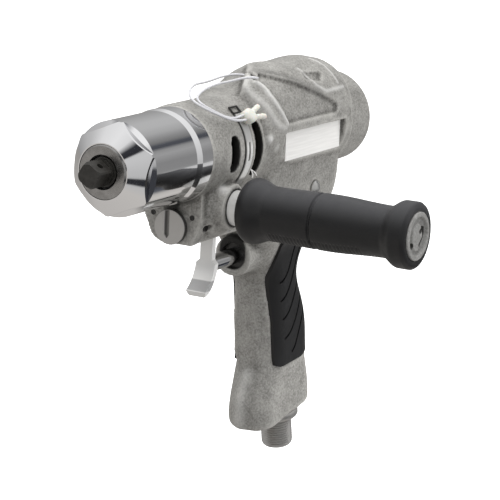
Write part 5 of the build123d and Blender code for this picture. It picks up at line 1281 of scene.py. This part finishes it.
# %% Strips of the light tent
STRIPS_BEHIND = [
    (-180, 0.3), (-150, 0.28), (-125, 0.38), (-108, 0.12), (-96, 0.32), (-85, 0.58), (-72, 0.5),
    (-62, 0.12), (-45, 0.03), (-33, 0.04), (-27, 0.66), (-22, 0.5), (-15, 0.26), (5, 0.25), (25, 0.36),
    (35, 0.3), (42, 0.08), (48, 0.09), (55, 0.2), (65, 0.28), (80, 0.42), (100, 0.5), (120, 0.5),
    (142, 0.42), (160, 0.36), (180, 0.32),
]
STRIPS_BEVEL = [
    (-180, 0.32), (-130, 0.5), (-60, 0.55), (-40, 0.5), (-36, 0.04), (-22, 0.04), (-17, 0.5), (0, 0.6),
    (40, 0.8), (90, 0.9), (120, 0.85), (150, 0.5), (180, 0.32),
]
STRIPS_AHEAD = [
    (-180, 0.6), (-130, 0.5), (-60, 0.55), (-40, 0.52), (-36, 0.03), (-23, 0.03), (-19, 0.52), (0, 0.55),
    (30, 0.62), (40, 0.6), (44, 0.03), (60, 0.04), (76, 0.78), (100, 0.88), (130, 0.8), (155, 0.55),
    (180, 0.4),
]
STRIPS_FRONT = [
    (-180, 0.35), (-165, 0.55), (-130, 0.5), (-100, 0.25), (-85, 0.05), (-40, 0.05), (-25, 0.4), (0, 0.5),
    (80, 0.7), (95, 0.95), (122, 0.95), (136, 0.08), (168, 0.05), (180, 0.35),
]
STATIONS = [
    (-0.8, STRIPS_BEHIND),
    (-0.72, STRIPS_BEVEL),
    (-0.4, STRIPS_BEVEL),
    (-0.2, STRIPS_AHEAD),
    (0.7, STRIPS_AHEAD),
    (0.78, STRIPS_FRONT),
]
GAP_LIGHT = 0.13
LOW_ANGLE = -45
GAP_TONE = (0.92, 0.97, 1.12)
LOW_TONE = (1.04, 1.0, 0.955)
PLAIN_TONE = (1, 1, 1)

world = bpy.data.worlds.new("light_tent")
bpy.context.scene.world = world
world.use_nodes = True
world.node_tree.nodes.clear()


def ramp(stops, low, high, place):
    """Light that runs through stops of place and strength; gaps are cool and what lies low is warm."""
    made = node(world, "ShaderNodeValToRGB", Fac=place)
    elements = made.color_ramp.elements
    elements[0].position = 0.0
    elements[1].position = 1.0
    while len(elements) < len(stops):
        elements.new(0.5)
    for element, (stop, light) in zip(elements, stops):
        tone = LOW_TONE if stop < LOW_ANGLE else PLAIN_TONE
        if light < GAP_LIGHT:
            tone = GAP_TONE
        element.position = (stop - low) / (high - low)
        element.color = (*(np.array(tone) * light), 1)
    return made.outputs["Color"]


way = node(world, "ShaderNodeTexCoord").outputs["Generated"]
parts = node(world, "ShaderNodeSeparateXYZ", Vector=way)
angle = node(world, "ShaderNodeMath", operation="ARCTAN2")
feed(world, angle.inputs[0], parts.outputs["Z"])
feed(world, angle.inputs[1], parts.outputs["Y"])
full = node(world, "ShaderNodeMapRange", Value=angle.outputs[0], From_Min=-math.pi, From_Max=math.pi)
rows = [ramp(strips, -180, 180, full.outputs["Result"]) for _, strips in STATIONS]
mirrored = rows[0]
for (before, _), (station, _), row in zip(STATIONS, STATIONS[1:], rows[1:]):
    onward = node(world, "ShaderNodeMapRange", Value=parts.outputs["X"], From_Min=before, From_Max=station)
    mirrored = mixed(world, onward.outputs["Result"], mirrored, row)
print("rows of strips:", len(rows))

# %% [markdown]
# ### Light for dull surfaces and for the eye
# Dull surfaces gather light from everywhere, so they get an even shade that brightens towards the top, and
# the eye sees plain white behind the tool. A world can be all three at once, because each ray says what kind
# it is. The tent is even enough to need no sampling of its own.

# %% Surroundings by kind of ray
SOFT_LIGHT = [(-1.0, 0.22), (-0.3, 0.28), (0.0, 0.42), (0.35, 0.85), (0.7, 1.6), (1.0, 2.1)]
MIX_RAY, MIX_ELSE, MIX_IF = 0, 1, 2


def by_ray(kind, otherwise, then):
    """One background for rays of a kind, and another for the rest."""
    chosen = node(world, "ShaderNodeMixShader")
    feed(world, chosen.inputs[MIX_RAY], node(world, "ShaderNodeLightPath").outputs[kind])
    feed(world, chosen.inputs[MIX_ELSE], otherwise)
    feed(world, chosen.inputs[MIX_IF], then)
    return chosen.outputs[0]


upward = node(world, "ShaderNodeMapRange", Value=parts.outputs["Z"], From_Min=-1.0)
shade = ramp(SOFT_LIGHT, -1.0, 1.0, upward.outputs["Result"])
shiny = node(world, "ShaderNodeBackground", Color=mirrored).outputs[0]
dull = node(world, "ShaderNodeBackground", Color=shade).outputs[0]
white = node(world, "ShaderNodeBackground", Color=(1, 1, 1, 1)).outputs[0]
seen = by_ray("Is Camera Ray", by_ray("Is Diffuse Ray", shiny, dull), white)
node(world, "ShaderNodeOutputWorld", Surface=seen)
world.cycles.sampling_method = "NONE"
print("nodes in the tent:", len(world.node_tree.nodes))

# %% [markdown]
# ### Lamps and floor
# Soft boxes give the casting its light and shade. They are kept out of mirrors, where the strips do that
# work. The floor is pale and lies well below, as the tool is shown hanging free.

# %% Lamps and floor
MIDDLE = (-0.11, 0.02, -0.05)
HEEL = (-0.2, 0.02, -0.02)

# Name, place, aim, side in metres and power in watts
SOFT_BOXES = [
    ("over_light", (-0.15, -0.05, 0.85), MIDDLE, 1.1, 5.0),
    ("side_light", (0.5, 1.1, 0.35), MIDDLE, 1.1, 2.0),
    ("rear_light", (-1.0, 0.8, 0.0), MIDDLE, 0.8, 4.0),
    ("front_light", (1.1, 0.2, -0.2), MIDDLE, 0.8, 2.5),
    ("heel_light", (-0.34, 0.2, -0.2), HEEL, 0.12, 0.6),
]
FLOOR_Z = -0.30
FLOOR_SIDE = 8.0
for name, place, aim, side, power in SOFT_BOXES:
    light = bpy.data.lights.new(name, "AREA")
    light.size = side
    light.energy = power
    holder = add_object(name, light)
    holder.location = place
    holder.rotation_euler = (Vector(aim) - Vector(place)).to_track_quat("-Z", "Y").to_euler()
    holder.visible_glossy = False
    holder.visible_camera = False
bpy.ops.mesh.primitive_plane_add(size=FLOOR_SIDE, location=(0, 0, FLOOR_Z))
floor = bpy.context.object
floor.name = "studio_floor"
pale = finish(
    "pale_floor", Base_Color=(0.9, 0.9, 0.9, 1), Roughness=0.9,
    Emission_Color=(1, 1, 1, 1), Emission_Strength=0.4,
)
floor.data.materials.append(pale)
floor.visible_glossy = False
floor.visible_diffuse = False
print("soft boxes:", len(SOFT_BOXES), "and the floor at", FLOOR_Z)
